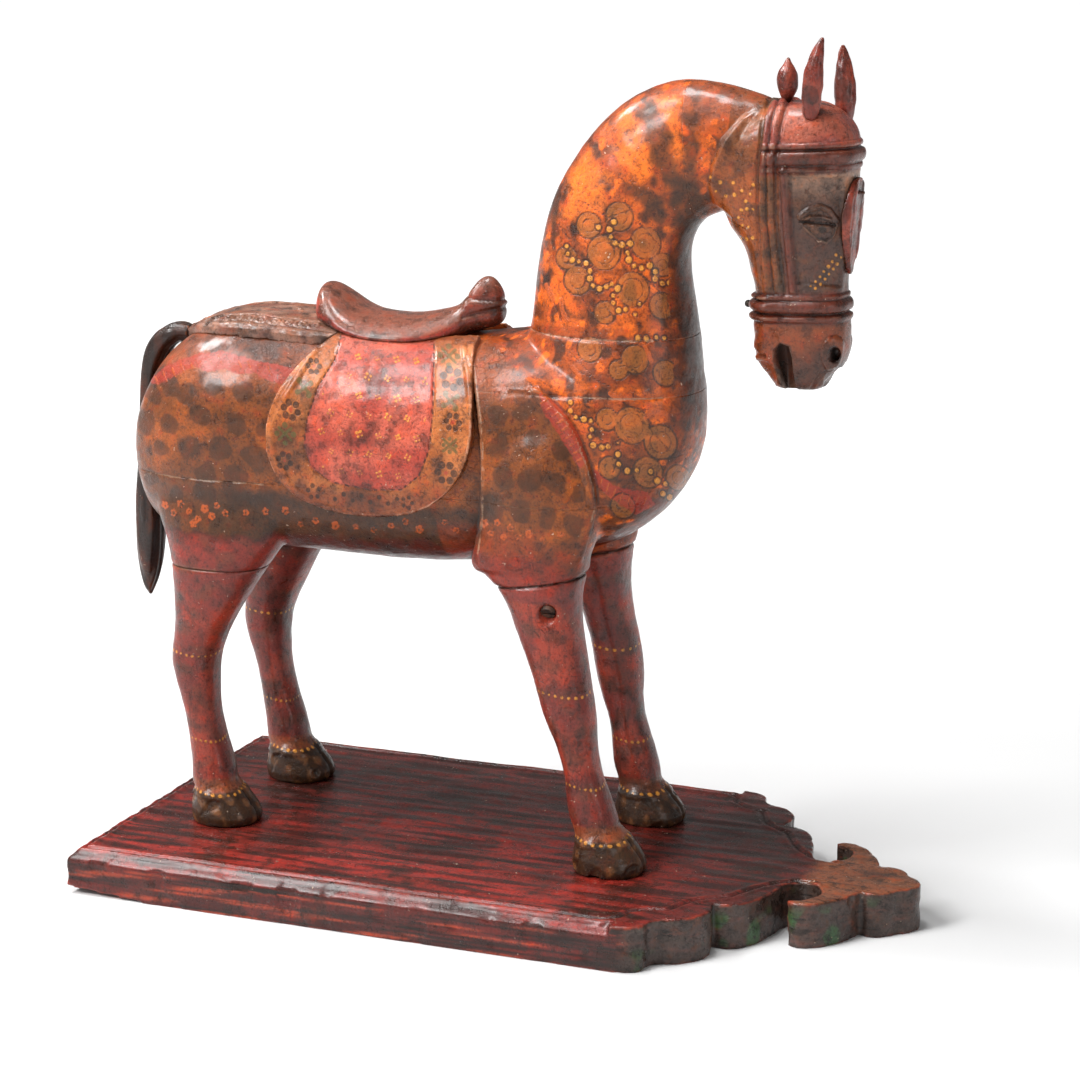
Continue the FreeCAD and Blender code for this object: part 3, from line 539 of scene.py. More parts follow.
# ---- painted patterns, in pattern coordinates ----
LAYERS = {       # colour, how firmly it covers, softness of its edge in mm, unevenness of its edge in mm
    "dapple": ("#2f1c0e", 0.66, 1.3, 4.6),
    "ochre": ("#9c5c26", 0.60, 0.8, 2.0),
    "red": ("#9c2d1c", 0.78, 0.8, 3.0),
    "green": ("#4d4a22", 0.80, 0.4, 1.0),
    "ink": ("#1d130d", 0.82, 0.4, 1.0),
    "orange": ("#b8521c", 0.85, 0.4, 1.6),
    "yellow": ("#d98f35", 0.88, 0.35, 1.1),
    # pale: seam lines, and lines along the shoulder step and the rib that are partly wear and partly a
    # painted highlight
    "pale": ("#a8876c", 0.55, 0.3, 2.4),
}
BARE = -9.0       # a layer's value, in mm, well away from its pattern
DAPPLES = [
    (-297, 333), (-283, 339), (-268, 333), (-246, 338), (-222, 338), (-303, 310), (-284, 309),
    (-258, 316), (-228, 314), (-206, 311), (-291, 290), (-268, 293), (-242, 294), (-214, 290),
    (-254, 274), (-229, 276), (-301, 268), (-279, 257), (-256, 260), (-230, 260), (-206, 262), (-24, 334),
    (-3, 338), (-21, 312), (4, 318), (24, 311), (-20, 288), (1, 292), (21, 289), (38, 284), (-27, 266),
    (-6, 268), (14, 265), (33, 262),
]
NECK_DARKS = [
    [(78, 546), (88, 554), (100, 541), (108, 508), (119, 497), (106, 486), (90, 515)], [(71, 492),
    (84, 501), (96, 490), (104, 478), (95, 473), (84, 484)], [(104, 500), (124, 500), (122, 470),
    (110, 462), (100, 476)], [(112, 492), (111, 530), (115, 564), (123, 564), (121, 530), (124, 492)],
    [(22, 522), (50, 550), (56, 542), (34, 516)], [(12, 470), (16, 500), (24, 500), (20, 462)],
]
NECK_LIGHTS = [
    [(92, 556), (106, 560), (104, 545), (112, 520), (104, 512), (98, 535)], [(68, 548), (82, 540),
    (92, 505), (80, 500), (64, 520)], [(28, 500), (44, 520), (60, 500), (46, 470), (28, 476)],
]
ROUNDELS = [
    (66, 477, 10), (55, 452, 12), (85, 460, 11), (36, 432, 10), (76, 428, 12), (97, 446, 8), (28, 447, 8),
    (56, 411, 8), (97, 418, 9), (44, 470, 9), (76, 334, 13), (97, 324, 12), (58, 337, 8), (88, 302, 11),
    (110, 300, 9), (60, 303, 8), (70, 277, 9), (45, 385, 9), (78, 380, 10), (100, 372, 9), (66, 372, 7),
]
GARLANDS = [
    (28, 455), (29, 450), (32, 446), (37, 445), (42, 444), (45, 439), (45, 434), (47, 429), (52, 427),
    (57, 429), (61, 431), (65, 428), (62, 423), (62, 418), (66, 413), (71, 414), (78, 411), (81, 418),
    (62, 473), (59, 468), (60, 463), (63, 459), (68, 458), (74, 459), (72, 453), (73, 448), (77, 444),
    (82, 443), (88, 445), (92, 441), (92, 436), (97, 433), (102, 434), (105, 428), (111, 427), (113, 417),
    (51, 469), (31, 347), (31, 341), (35, 337), (41, 336), (46, 335), (47, 329), (46, 324), (48, 318),
    (54, 317), (59, 318), (66, 321), (66, 313), (67, 306), (73, 302), (80, 303), (90, 303), (95, 297),
    (101, 295), (99, 288), (104, 286), (80, 395), (86, 395), (93, 396), (99, 396), (109, 394), (113, 381),
]
LEAVES = [
    [(24, 418), (25, 410), (29, 404)], [(86, 340), (93, 346), (101, 344)], [(13, 428), (18, 418)],
    [(116, 344), (118, 335)], [(32, 372), (38, 366)], [(60, 355), (68, 352)], [(84, 392), (90, 380)],
]
INCISED = [
    [(40, 486), (58, 476), (74, 482)], [(80, 474), (96, 458)], [(36, 424), (52, 404)], [(44, 430),
    (66, 404)], [(86, 436), (104, 420)], [(56, 356), (78, 346), (92, 336)], [(80, 342), (104, 318)],
    [(20, 392), (48, 366)], [(30, 372), (60, 360)], [(48, 400), (64, 378), (92, 366)], [(50, 290),
    (76, 268)], [(100, 312), (118, 318)], [(10, 436), (24, 404)], [(22, 470), (30, 460)],
]
RED_AREAS = [
    [(8, 352), (22, 346), (34, 331), (44, 308), (38, 300), (24, 322), (10, 340)], [(48, 302), (62, 291),
    (88, 288), (93, 280), (80, 271), (60, 282), (50, 290)], [(-302, 340), (-286, 352), (-265, 361),
    (-240, 367), (-215, 362), (-180, 358), (-180, 344), (-200, 347), (-212, 352), (-228, 350),
    (-236, 354), (-252, 350), (-262, 355), (-275, 347), (-292, 338)],
]
FLORETS = [
    (-289, 248), (-282, 243), (-276, 250), (-269, 245), (-262, 240), (-256, 248), (-250, 243),
    (-246, 251), (-239, 246), (-266, 236), (-222, 248), (-206, 250), (-190, 252), (-178, 243),
    (-166, 247), (-150, 244), (-134, 245), (-120, 244), (-106, 248), (-95, 252), (-84, 247), (-64, 254),
    (-55, 249), (-34, 256), (-29, 249), (-24, 257), (-19, 247), (-14, 254), (-8, 248), (0, 251),
    (10, 247), (24, 253),
]
JAW_DOTS = [
    (148, 467), (152, 466), (156, 466), (160, 467), (153, 475), (157, 474), (152, 485), (156, 486),
    (160, 486), (150, 480), (155, 491), (158, 496), (152, 498), (147, 495), (146, 503), (160, 502),
    (134, 497), (137, 503), (141, 494), (130, 506),
]
CHEEK_DOTS = [
    (221, 457), (218.5, 452.5), (216, 449), (213, 445.5), (210.5, 442), (207.5, 438.5), (204, 435.5),
]


def bare_layers(points):
    return {name: np.full(len(points), BARE) for name in LAYERS}


def florets(u, v, centres, petals, reach, radius):
    best = nowhere(u)
    for a, b in centres:
        size = uneven(a, b, 0.2)
        for k in range(petals):
            turn = 2 * math.pi * (k + 0.37 * (a % 3)) / petals
            pu, pv = a + size * reach * math.cos(turn), b + size * reach * math.sin(turn)
            best = np.maximum(best, size * radius - np.hypot(u - pu, v - pv))
    return best


def strokes(u, v, lines, half_width):
    best = nowhere(u)
    for line in lines:
        best = np.maximum(best, half_width - np.abs(stroke(u, v, line)))
    return best


def combs(line, count, length, lean):
    """Short strokes that leave a line at a slant."""
    path = [Vector(p) for p in line]
    steps = [(b - a).length for a, b in zip(path[:-1], path[1:])]
    made = []
    for k in range(count):
        along = sum(steps) * (k + 0.5) / count
        for a, b, step in zip(path[:-1], path[1:], steps):
            if along <= step:
                foot = a.lerp(b, along / step)
                made.append([tuple(foot), tuple(foot + Vector(lean) * length)])
                break
            along -= step
    return made


def leg_rings(points):
    """Dotted rings painted round the legs."""
    x, y, z = points.T
    best = nowhere(points)
    rings = {
        ("front", -1): ((158, 48), (93, 65), (56, 71)),
        ("front", 1): ((163, 40), (94, 55), (57, 61)),
        ("hind", -1): ((158, -235), (94, -227), (56, -221)),
        ("hind", 1): ((163, -230), (94, -222), (57, -216)),
    }
    for (_, side), marks in rings.items():
        for level, centre in marks:
            turn = np.arctan2(y - MIDPLANE - side * LEG_SPREAD, x - centre)
            arc = turn * 17.0
            beside = np.abs(arc - np.round(arc / 4.4) * 4.4)
            height = z - level - 1.2 * np.sin(turn * 2)
            near = (np.abs(x - centre) < 32) & ((y - MIDPLANE) * side > 0)
            best = np.maximum(best, np.where(near, 1.1 - np.hypot(beside, height), -1e3))
    return best


def trunk_coat(coat, points, normals, slow, quick):
    """Neck, chest, shoulders, rump and the band along the belly. Says where neck and throat are."""
    x, _, z = points.T
    u, v = side_pattern(points)
    rib = stroke(u, v, RIB + [(30, 200)])
    coat.add("#95571f", ramp(slow - 0.1, 0.8) * 0.8)
    coat.add("#5b3a1f", ramp(quick - 0.7, 0.8) * 0.5)
    chest = ramp(rib + 1, 2) * (x > -30) * (v < 402)
    neck = np.maximum(ramp(v - 400, 3) * (x < 150), chest)
    coat.add("#a4541e", neck * 0.9)
    coat.add("#c86a22", neck * ramp(slow + 0.1, 0.6) * 0.9)
    coat.add("#5a3420", neck * ramp(quick - 0.75, 0.5) * 0.75)
    coat.add("#7c3d1c", (v > 362) * (v < 400) * neck * 0.6)
    coat.add("#5d3a24", chest * ramp(322 - v, 25) * 0.7)
    coat.add("#3d2415", neck * ramp(wobble(points, 15, 15) - 0.75, 0.3) * 0.85)
    coat.add("#e0781f", neck * ramp(wobble(points, 11, 16) - 0.95, 0.25) * 0.8)
    for outline in NECK_LIGHTS:
        coat.add("#dd7f2c", ramp(area(u, v, outline) + 2 * quick, 4) * 0.8)
    for outline in NECK_DARKS:
        coat.add("#4d321f", ramp(area(u, v, outline) + 2 * quick, 3) * 0.85)
    crest = ramp(-normals[:, 0] * 0.75 + normals[:, 2] * 0.66 - 0.82, 0.2) * (z > 405) * (x < 175)
    coat.add("#5f2f1e", crest * 0.75)
    poll = ramp(v - 545, 10) * (x > 118) * (x < 180)
    coat.add("#6e4032", poll * 0.7)
    throat = ramp(normals[:, 0] - 0.80, 0.16) * ramp(z - 335, 25) * (z < 500) * (x < 150)
    throat = np.maximum(throat, ramp(u - 113 - 3 * quick, 6) * ramp(v - 350, 12) * (v < 478) * (x < 145))
    coat.add("#281a14", throat * 0.88)
    under_chin = (x > 120) * (x < 150) * (normals[:, 2] < -0.4) * (z > 460)
    coat.add("#3d2a20", under_chin * 0.7)
    shoulder_top = ramp(v - 348, 12) * ramp(-rib, 6) * (x < 40) * (z < 400)
    coat.add("#8a5038", shoulder_top * 0.8)
    rump_top = ramp(v - 364, 8) * (x < -40)
    coat.add("#6e4336", rump_top * 0.85)
    trunk_low = ramp(264 - v, 5) * (x < -14) * (x > -215)
    rear_low = ramp(266 - v, 18) * (x <= -190)
    coat.add("#3a2c24", np.maximum(trunk_low * 0.88, rear_low * 0.55))
    return neck, throat


def low_coat(coat, points, normals, slow, quick):
    """Red below the belly band, legs and hooves. Says where the red and the hooves are."""
    x, y, z = points.T
    u, v = side_pattern(points)
    maroon_top = np.interp(u, [-300, -270, -215, -200, -140, -80, -40], [233, 230, 228, 236, 236, 239, 237])
    coat.add("#4c201d", ramp(maroon_top - v + 1.5 * quick, 2) * (x < -16))
    front_top = np.interp(u, [-45, 0, 30, 60, 130], [246, 243, 236, 232, 232])
    fore = (x > -45) * (np.abs(y - MIDPLANE) > 16)
    coat.add("#7a3a22", ramp(front_top + 8 - v + 3 * quick, 8) * fore * 0.7)
    coat.add("#7c2f26", ramp(front_top - 10 - v + 4 * quick, 8) * fore)
    belly_middle = (np.abs(y - MIDPLANE) <= 30) * (normals[:, 2] < -0.5) * (z < 300)
    coat.add("#4c201d", belly_middle * 0.8)
    hind_red = ramp(maroon_top - 3 - v + 1.5 * quick, 3) * (x < -165)
    leg = np.maximum((z < 222) * 1.0, hind_red)
    coat.add("#7a2a20", hind_red)
    coat.add("#6f2c25", (z < 236) * ramp(226 - z, 10))
    coat.add("#963a26", leg * ramp(slow - 0.2, 0.5) * 0.7)
    coat.add("#5b3324", leg * ramp(quick - 0.5, 0.6) * 0.6)
    coat.add("#8a5230", leg * (z < 66) * ramp(66 - z, 6) * 0.7)
    hoof = ramp(HOOF_TOP - z, 1.2)
    coat.add("#38230f", hoof)
    coat.add("#7a5230", hoof * ramp(wobble(points, 12, 13) - 0.6, 0.4) * 0.7)
    return np.maximum(ramp(236 - z, 10), hind_red), hoof


def head_coat(coat, points, normals, slow, quick):
    """Cheek, bridle, face and muzzle. Says where the head and its front are."""
    x, _, z = points.T
    u, v = side_pattern(points)
    behind_jaw = stroke(u, v, JAW + [(158, 474), (168, 430), (160, 360)])
    head = ramp(x - 124, 3) * (z > 360) * ramp(behind_jaw + 1, 1.5)
    head = np.maximum(head, ramp(x - 156, 3) * (z > 360) * (z < 480))
    coat.add("#70411f", head)
    coat.add("#9c5523", head * ramp(slow + 0.2, 0.6) * 0.7)
    coat.add("#3f2a1e", head * ramp(quick - 0.5, 0.5) * 0.6)
    front_of_head = ramp(u - 178, 2) * head
    coat.add("#43302a", front_of_head * 0.92)
    coat.add("#5d3b25", front_of_head * ramp(wobble(points, 11, 17) - 0.3, 0.4) * 0.6)
    # pale band along the top of the face panel: a painted highlight
    coat.add("#a58672", front_of_head * ramp(v - 500, 10) * (v < 516) * 0.8)
    strap = 5.6 - np.abs(stroke(u, v, STRAP))
    coat.add("#523821", head * ramp(strap, 1) * ramp(v - 432, 3) * (0.65 + 0.35 * np.tanh(quick)))
    coat.add("#58291d", head * ramp(4.0 - np.abs(stroke(u, v, PANEL_BAR)), 1) * np.abs(normals[:, 1]))
    tilted = along_bands(x, z)
    for low, high, start in ((513, 534, 174), (MUZZLE_TOP, 435, NOSEBAND_START)):
        band = ramp(tilted - low, 1.5) * ramp(high - tilted, 1.5)
        coat.add("#5a2a1c", head * band * (x > start))
    coat.add("#7c3a30", head * ramp(z - 532, 3) * (x > 176))
    coat.add("#a8604a", head * ramp(z - 532, 3) * (x > 176) * ramp(slow, 0.5) * 0.6)
    muzzle = ramp(MUZZLE_TOP - tilted, 2) * head
    coat.add("#743a1c", muzzle)
    coat.add("#3e2b24", muzzle * ramp(392 - v + 5 * slow, 10) * ramp(u - 186, 6) * 0.85)
    mouth = area(u, v, MOUTH)
    near_mouth = ramp(mouth + 0.2, 0.8) * muzzle
    coat.add("#3a2315", near_mouth)
    nostril = 1.0 - np.hypot((u - NOSTRIL[0]) / 4.6, (v - NOSTRIL[1]) / 6.2)
    coat.add("#2a1610", ramp(nostril, 0.12) * muzzle)
    return head, front_of_head


def horse_layers(points, normals, quick, neck, throat, head):
    x, _, z = points.T
    u, v = side_pattern(points)
    side = np.abs(normals[:, 1])
    layers = bare_layers(points)
    layers["dapple"] = spots(u, v, DAPPLES, 7.6, 0.3) + 1.8 * quick
    layers["dapple"] = np.where((z > 236) & (head < 0.5), layers["dapple"], BARE)
    on_neck = neck * (head < 0.5) * (throat < 0.5) > 0.5
    discs = nowhere(points)
    for a, b, radius in ROUNDELS:
        discs = np.maximum(discs, radius - np.hypot(u - a, v - b))
    layers["ochre"] = np.where(on_neck, discs, BARE)
    rings = 0.65 - np.abs(discs)
    inner = 0.35 - np.abs(discs - 4.5)
    garland = spots(u, v, GARLANDS, 1.8, 0.25) - 0.4 * (wobble(points, 9, 14) > 0.9)
    ink = np.maximum(rings, strokes(u, v, INCISED, 0.45))
    ink = np.maximum(np.maximum(ink, inner), 0.7 - np.abs(garland + 0.6))
    eye = area(u, v, EYE)
    pupil = 2.4 - np.hypot((u - 208) / 1.2, v - 474.5)
    eye_lines = np.maximum(0.5 - np.abs(eye - 0.8), np.maximum(strokes(u, v, [EYE_CREASE], 0.5), pupil))
    layers["ink"] = np.where(on_neck, ink, np.where((head > 0.5) & (side > 0.4), eye_lines, BARE))
    front_crack = 0.9 - np.abs(z - FRONT_JOINT - FRONT_JOINT_SLOPE * x)
    hind_crack = 0.35 - np.abs(z - HIND_JOINT)
    cracks = np.where((x > -60) & (x < 72), front_crack, np.where(x < -150, hind_crack, BARE))
    layers["ink"] = np.maximum(layers["ink"], cracks)
    comb = combs([(12, 350), (24, 338), (34, 324), (42, 306)], 9, 6.5, (-0.85, -0.5))
    comb += combs([(52, 296), (70, 286), (90, 284)], 7, 6.0, (-0.3, -0.9))
    comb += combs([(-298, 343), (-265, 358), (-240, 364), (-190, 356)], 14, 7.0, (0.4, -0.9))
    layers["orange"] = np.maximum(strokes(u, v, comb, 0.55), florets(u, v, FLORETS, 5, 1.9, 1.0))
    layers["orange"] = np.maximum(layers["orange"], np.where(on_neck, strokes(u, v, LEAVES, 1.7), BARE))
    layers["orange"] = np.where((z > 232) & (side > 0.25), layers["orange"], BARE)
    red = nowhere(points)
    for outline in RED_AREAS:
        red = np.maximum(red, area(u, v, outline))
    layers["red"] = np.where((side > 0.2) & (head < 0.5), red, BARE)
    yellow = np.where(on_neck, garland, BARE)
    second_row = [(a - 3.4, b + 1.4) for a, b in CHEEK_DOTS]
    cheeks = np.maximum(spots(u, v, CHEEK_DOTS, 0.95, 0.2), spots(u, v, second_row, 0.95, 0.2))
    jaws = spots(u, v, JAW_DOTS, 1.1, 0.25)
    yellow = np.where((head > 0.4) & (side > 0.3), np.maximum(cheeks, jaws), yellow)
    layers["yellow"] = np.maximum(yellow, leg_rings(points))
    seams = 0.55 - np.abs(z - NECK_SEAM)
    seams = np.where((x > -14) & (x < 106), seams, BARE)
    second = np.where((x > 52) & (x < 112), 0.5 - np.abs(z - WITHERS_SEAM), BARE)
    third = np.where((x < -172) & (x > -262), 0.35 - np.abs(z - LAMINATION), BARE)
    rib = stroke(u, v, RIB + [(30, 200)])
    on_step = (side > 0.5) & (v > 232) & (v < 385) & (z < 400)
    # pale line along the edge of the shoulder step: partly wear, partly a painted highlight
    edge = np.where(on_step, 0.5 - np.abs(stroke(u, v, STEP) - 1.6), BARE)
    # pale line along the rib's ridge: partly wear, partly a painted highlight
    rib_wear_and_highlight = np.where((side > 0.4) & (v > 262) & (v < 340) & (z < 400), 0.7 - np.abs(rib - 0.6), BARE)
    for line in (seams, second, third, edge, rib_wear_and_highlight):
        layers["pale"] = np.maximum(layers["pale"], line)
    return layers


def horse_paint(points, normals):
    slow, quick = wobble(points, 45, 11), wobble(points, 16, 12)
    coat = Coat(points, "#6d421e")
    neck, throat = trunk_coat(coat, points, normals, slow, quick)
    red, hoof = low_coat(coat, points, normals, slow, quick)
    head, face = head_coat(coat, points, normals, slow, quick)
    cool = face + head * ramp(points[:, 2] - 530, 3) + 0.4 * head + hoof + 0.85 * red
    warm = np.clip(1 - cool, 0, 1)[:, None]
    coat.tint = coat.tint * (1 - warm * np.array([0.02, 0.26, 0.64]))
    return coat.tint, horse_layers(points, normals, quick, neck, throat, head)


def set_paint(obj, tint, layers=None):
    mesh = obj.data
    count = len(mesh.vertices)
    for name in [n for n in ("tint", *LAYERS) if n in mesh.attributes]:
        mesh.attributes.remove(mesh.attributes[name])
    colour = mesh.attributes.new("tint", "FLOAT_COLOR", "POINT")
    colour.data.foreach_set("color", np.hstack([tint, np.ones((count, 1))]).astype(np.float32).ravel())
    for name in LAYERS:
        field = (layers or {}).get(name, np.full(count, BARE))
        values = mesh.attributes.new(name, "FLOAT", "POINT")
        values.data.foreach_set("value", np.clip(field, BARE, -BARE).astype(np.float32))


# ---- materials ----
class Tree:
    """Short way to build a node tree."""

    def __init__(self, name):
        self.material = bpy.data.materials.new(name)
        self.material.use_nodes = True
        self.tree = self.material.node_tree
        self.shader = self.tree.nodes["Principled BSDF"]

    def put(self, socket, value):
        if isinstance(value, bpy.types.NodeSocket):
            self.tree.links.new(value, socket)
        else:
            socket.default_value = value

    def node(self, kind, inputs=None, **settings):
        made = self.tree.nodes.new("ShaderNode" + kind)
        for key, value in settings.items():
            setattr(made, key, value)
        for key, value in (inputs or {}).items():
            self.put(made.inputs[key], value)
        return made

    def maths(self, operation, a, b=0.0):
        return self.node("Math", {0: a, 1: b}, operation=operation).outputs[0]

    def times(self, a, b):
        return self.maths("MULTIPLY", a, b)

    def spread(self, value, low, high, to_low=0.0, to_high=1.0):
        made = self.node("MapRange", {0: value, 1: low, 2: high, 3: to_low, 4: to_high})
        made.interpolation_type = "SMOOTHSTEP"
        return made.outputs[0]

    def noise(self, where, scale, detail=5.0, roughness=0.6):
        inputs = {"Vector": where, "Scale": scale, "Detail": detail, "Roughness": roughness}
        return self.node("TexNoise", inputs).outputs["Fac"]

    def mix(self, a, b, share, blend="MIX"):
        made = self.node("Mix", data_type="RGBA", blend_type=blend)
        colours = [s for s in made.inputs if s.type == "RGBA"]
        self.put(made.inputs[0], share)
        self.put(colours[0], a)
        self.put(colours[1], b)
        return [s for s in made.outputs if s.type == "RGBA"][0]

    def finish(self, name, value):
        self.put(self.shader.inputs[name], value)

    def bump(self, height, strength, distance):
        made = self.node("Bump", {"Height": height, "Strength": strength, "Distance": distance})
        self.finish("Normal", made.outputs[0])

    def place(self, stretch=(1.0, 1.0, 1.0)):
        spot = self.node("TexCoord").outputs["Object"]
        return self.node("Mapping", {"Vector": spot, "Scale": stretch}).outputs[0]


def rgba(code):
    return (*linear(code), 1.0)


def painted(name, rough=0.38, coat=0.34, grain=(1.0, 1.0, 1.0), streaks=0.3, wear="#8d6a52", bump=0.75,
            patterns=True, hollow_shade=0.55):
    """Old painted and lacquered wood: uneven colour, grain, craquelure, chips, painted shade in the hollows
    and worn edges.
    """
    t = Tree(name)
    spot, along = t.place(), t.place(grain)
    colour = t.node("Attribute", attribute_name="tint").outputs["Color"]
    colour = t.node("VectorMath", {0: colour, 1: (1.16, 1.06, 1.02)}, operation="MULTIPLY").outputs[0]
    broad, middle, fine = t.noise(spot, 30.0, 7.0), t.noise(spot, 120.0, 6.0), t.noise(spot, 520.0, 4.0, 0.7)
    fleck = t.noise(spot, 240.0, 6.0, 0.75)
    streak = t.noise(along, 210.0, 6.0, 0.7)
    colour = t.mix(colour, rgba("#2a1a12"), t.spread(broad, 0.51, 0.33, 0.0, 0.65))
    colour = t.mix(colour, rgba("#f2a865"), t.spread(middle, 0.52, 0.68, 0.0, 0.60), "SOFT_LIGHT")
    colour = t.mix(colour, rgba("#20140e"), t.spread(middle, 0.50, 0.35, 0.0, 0.50))
    colour = t.mix(colour, rgba("#1d120c"), t.spread(streak, 0.50, 0.26, 0.0, streaks * 1.8))
    colour = t.mix(colour, rgba(wear), t.spread(streak, 0.62, 0.84, 0.0, streaks))
    colour = t.mix(colour, rgba("#1a0f0a"), t.spread(fleck, 0.54, 0.68, 0.0, 0.75))
    colour = t.mix(colour, rgba("#e08a48"), t.spread(fleck, 0.44, 0.30, 0.0, 0.55), "SOFT_LIGHT")
    colour = t.mix(colour, rgba("#170d08"), t.spread(fine, 0.49, 0.33, 0.0, 0.55))
    colour = t.mix(colour, rgba("#ffe0c0"), t.spread(fine, 0.54, 0.70, 0.0, 0.40), "SOFT_LIGHT")
    cover = 0.0
    if patterns:
        for key, (code, firm, soft, uneven) in LAYERS.items():
            field = t.node("Attribute", attribute_name=key).outputs["Fac"]
            shift = t.times(t.maths("SUBTRACT", middle, 0.5), uneven * 2.0)
            mask = t.spread(t.maths("ADD", field, shift), -soft, soft, 0.0, firm)
            gaps = t.spread(fine, 0.36, 0.50, 0.35, 1.0)
            mask = t.times(mask, gaps)
            colour = t.mix(colour, rgba(code), mask)
            if key in ("orange", "yellow", "ink"):
                cover = t.maths("ADD", cover, t.times(mask, -1.0 if key == "ink" else 1.0))
    point = t.node("NewGeometry").outputs["Pointiness"]
    # painted shade: darker where pointiness is low, in hollows and creases
    colour = t.mix(colour, rgba("#140d09"), t.spread(point, 0.492, 0.455, 0.0, hollow_shade))
    edge = t.times(t.spread(point, 0.515, 0.56), t.spread(middle, 0.40, 0.62))
    colour = t.mix(colour, rgba(wear), t.times(edge, 0.55))
    cells = t.node("TexVoronoi", {"Vector": spot, "Scale": 210.0}, feature="DISTANCE_TO_EDGE").outputs[0]
    crack = t.times(t.spread(cells, 0.035, 0.0), t.spread(t.noise(spot, 46.0), 0.50, 0.62))
    colour = t.mix(colour, rgba("#120c08"), t.times(crack, 0.45))
    chip = t.times(t.spread(t.noise(spot, 380.0, 3.0, 0.5), 0.69, 0.73),
                   t.spread(t.noise(spot, 60.0, 3.0), 0.48, 0.60))
    colour = t.mix(colour, rgba("#d8b9a0"), t.times(chip, 0.75))
    t.finish("Base Color", colour)
    gloss = t.spread(middle, 0.30, 0.70, rough - 0.12, rough + 0.12)
    t.finish("Roughness", t.maths("ADD", gloss, t.times(chip, 0.3)))
    t.finish("Specular IOR Level", 0.26)
    t.finish("Coat Weight", coat)
    t.finish("Coat Roughness", 0.2)
    dent = t.node("TexVoronoi", {"Vector": spot, "Scale": 95.0, "Smoothness": 0.6}, feature="SMOOTH_F1")
    relief = t.times(dent.outputs[0], 0.25)
    shares = [(middle, 0.8), (fine, 0.6), (fleck, -0.6), (streak, 0.5), (crack, -0.5), (chip, -0.7)]
    if patterns:
        shares.append((cover, 0.5))
    for height, share in shares:
        relief = t.maths("ADD", relief, t.times(height, share))
    t.bump(relief, bump, 0.0012)
    return t.material


def turned_wood(name, code, dark):
    """Bare peg wood: fine grain with darker pores."""
    t = Tree(name)
    spot, along = t.place(), t.place((1.0, 0.12, 1.0))
    pores, cloud = t.noise(along, 620.0, 5.0), t.noise(spot, 90.0, 4.0)
    colour = t.mix(rgba(code), rgba(dark), t.spread(pores, 0.42, 0.62))
    colour = t.mix(colour, rgba("#1b110b"), t.spread(cloud, 0.50, 0.30, 0.0, 0.6))
    t.finish("Base Color", colour)
    t.finish("Roughness", t.spread(pores, 0.2, 0.8, 0.45, 0.75))
    t.bump(pores, 0.4, 0.0006)
    return t.material


def old_steel(name):
    """Dark screw and nail steel with brown rust in patches."""
    t = Tree(name)
    spot = t.place()
    rust, fine = t.noise(spot, 260.0, 6.0), t.noise(spot, 1400.0, 3.0)
    patch = t.spread(rust, 0.44, 0.60)
    t.finish("Base Color", t.mix(rgba("#3a3632"), rgba("#4b2a18"), patch))
    t.finish("Metallic", t.spread(patch, 0.0, 1.0, 0.9, 0.15))
    t.finish("Roughness", t.spread(rust, 0.3, 0.7, 0.38, 0.80))
    t.bump(fine, 0.35, 0.0003)
    return t.material


BODY = painted("body_paint")
HEAD = painted("head_paint", rough=0.33)
LEG = painted("leg_paint", grain=(1.0, 1.0, 0.14), streaks=0.35)
BOARD = painted("board_lacquer", rough=0.32, coat=0.3, grain=(0.045, 1.0, 1.0), streaks=0.8, wear="#a8432c",
                patterns=False, bump=0.6)
SADDLE = painted("saddle_lacquer", rough=0.30, coat=0.4, grain=(0.12, 1.0, 1.0), streaks=0.35, patterns=False)
# the flaps get less painted shade in their hollows
FLAP = painted("flap_paint", rough=0.36, wear="#d9a283", hollow_shade=0.35)
COVER = painted("rump_cover_paint", rough=0.34, patterns=False, wear="#a98d7c")
TAIL = painted("tail_paint", grain=(1.0, 1.0, 0.10), streaks=0.7, wear="#a4582a", patterns=False)
TRIM = painted("red_brown_wood", grain=(1.0, 1.0, 0.12), streaks=0.35, patterns=False, rough=0.32)
PEG = turned_wood("peg_wood", "#6a4326", "#3d2616")
STEEL = old_steel("old_steel")


def finished(obj, material, slot, *nodes):
    obj.data.materials.clear()
    obj.data.materials.append(material)
    obj.data.polygons.foreach_set("use_smooth", [True] * len(obj.data.polygons))
    obj.data.update()
    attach(obj, "root")
    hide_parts(*nodes)
    return obj


# ---- the other carved pieces ----
def refined(name, voxel, relief):
    with_pegs = [name, "flap_pegs"] if name.endswith("flap") else stands_for(name)
    obj = remeshed(name + "_carved", with_pegs, voxel)
    largest_shell(obj)
    points, _ = read(obj)
    relax(obj, np.full(len(points), 0.5), 1 if name.endswith("ear") else 2)
    points, normals = read(obj)
    write(obj, points + normals * relief(points, normals)[:, None])
    return obj


FLAP_LINE = [
    (-143, 384), (-148, 366), (-162, 345), (-171, 322), (-174, 302), (-169, 286), (-152, 276),
    (-122, 273), (-98, 275), (-84, 286), (-76, 305), (-73, 330), (-72, 350), (-71, 384),
]
FLAP_EDGE = [
    (-148, 395), (-170, 368), (-190, 338), (-203, 310), (-201, 290), (-187, 268), (-160, 255),
    (-120, 251), (-88, 256), (-62, 268), (-46, 288), (-41, 320), (-42, 350), (-47, 388),
]
FLOWERS = [(-165, 360), (-184, 327), (-190, 289), (-58, 358), (-57.5, 327), (-63, 290)]
FLOWERS_LOW = [(-167, 268), (-93, 266)]
CROSSES = [(-173, 344), (-189, 309), (-59, 342), (-60, 310), (-60, 374)]


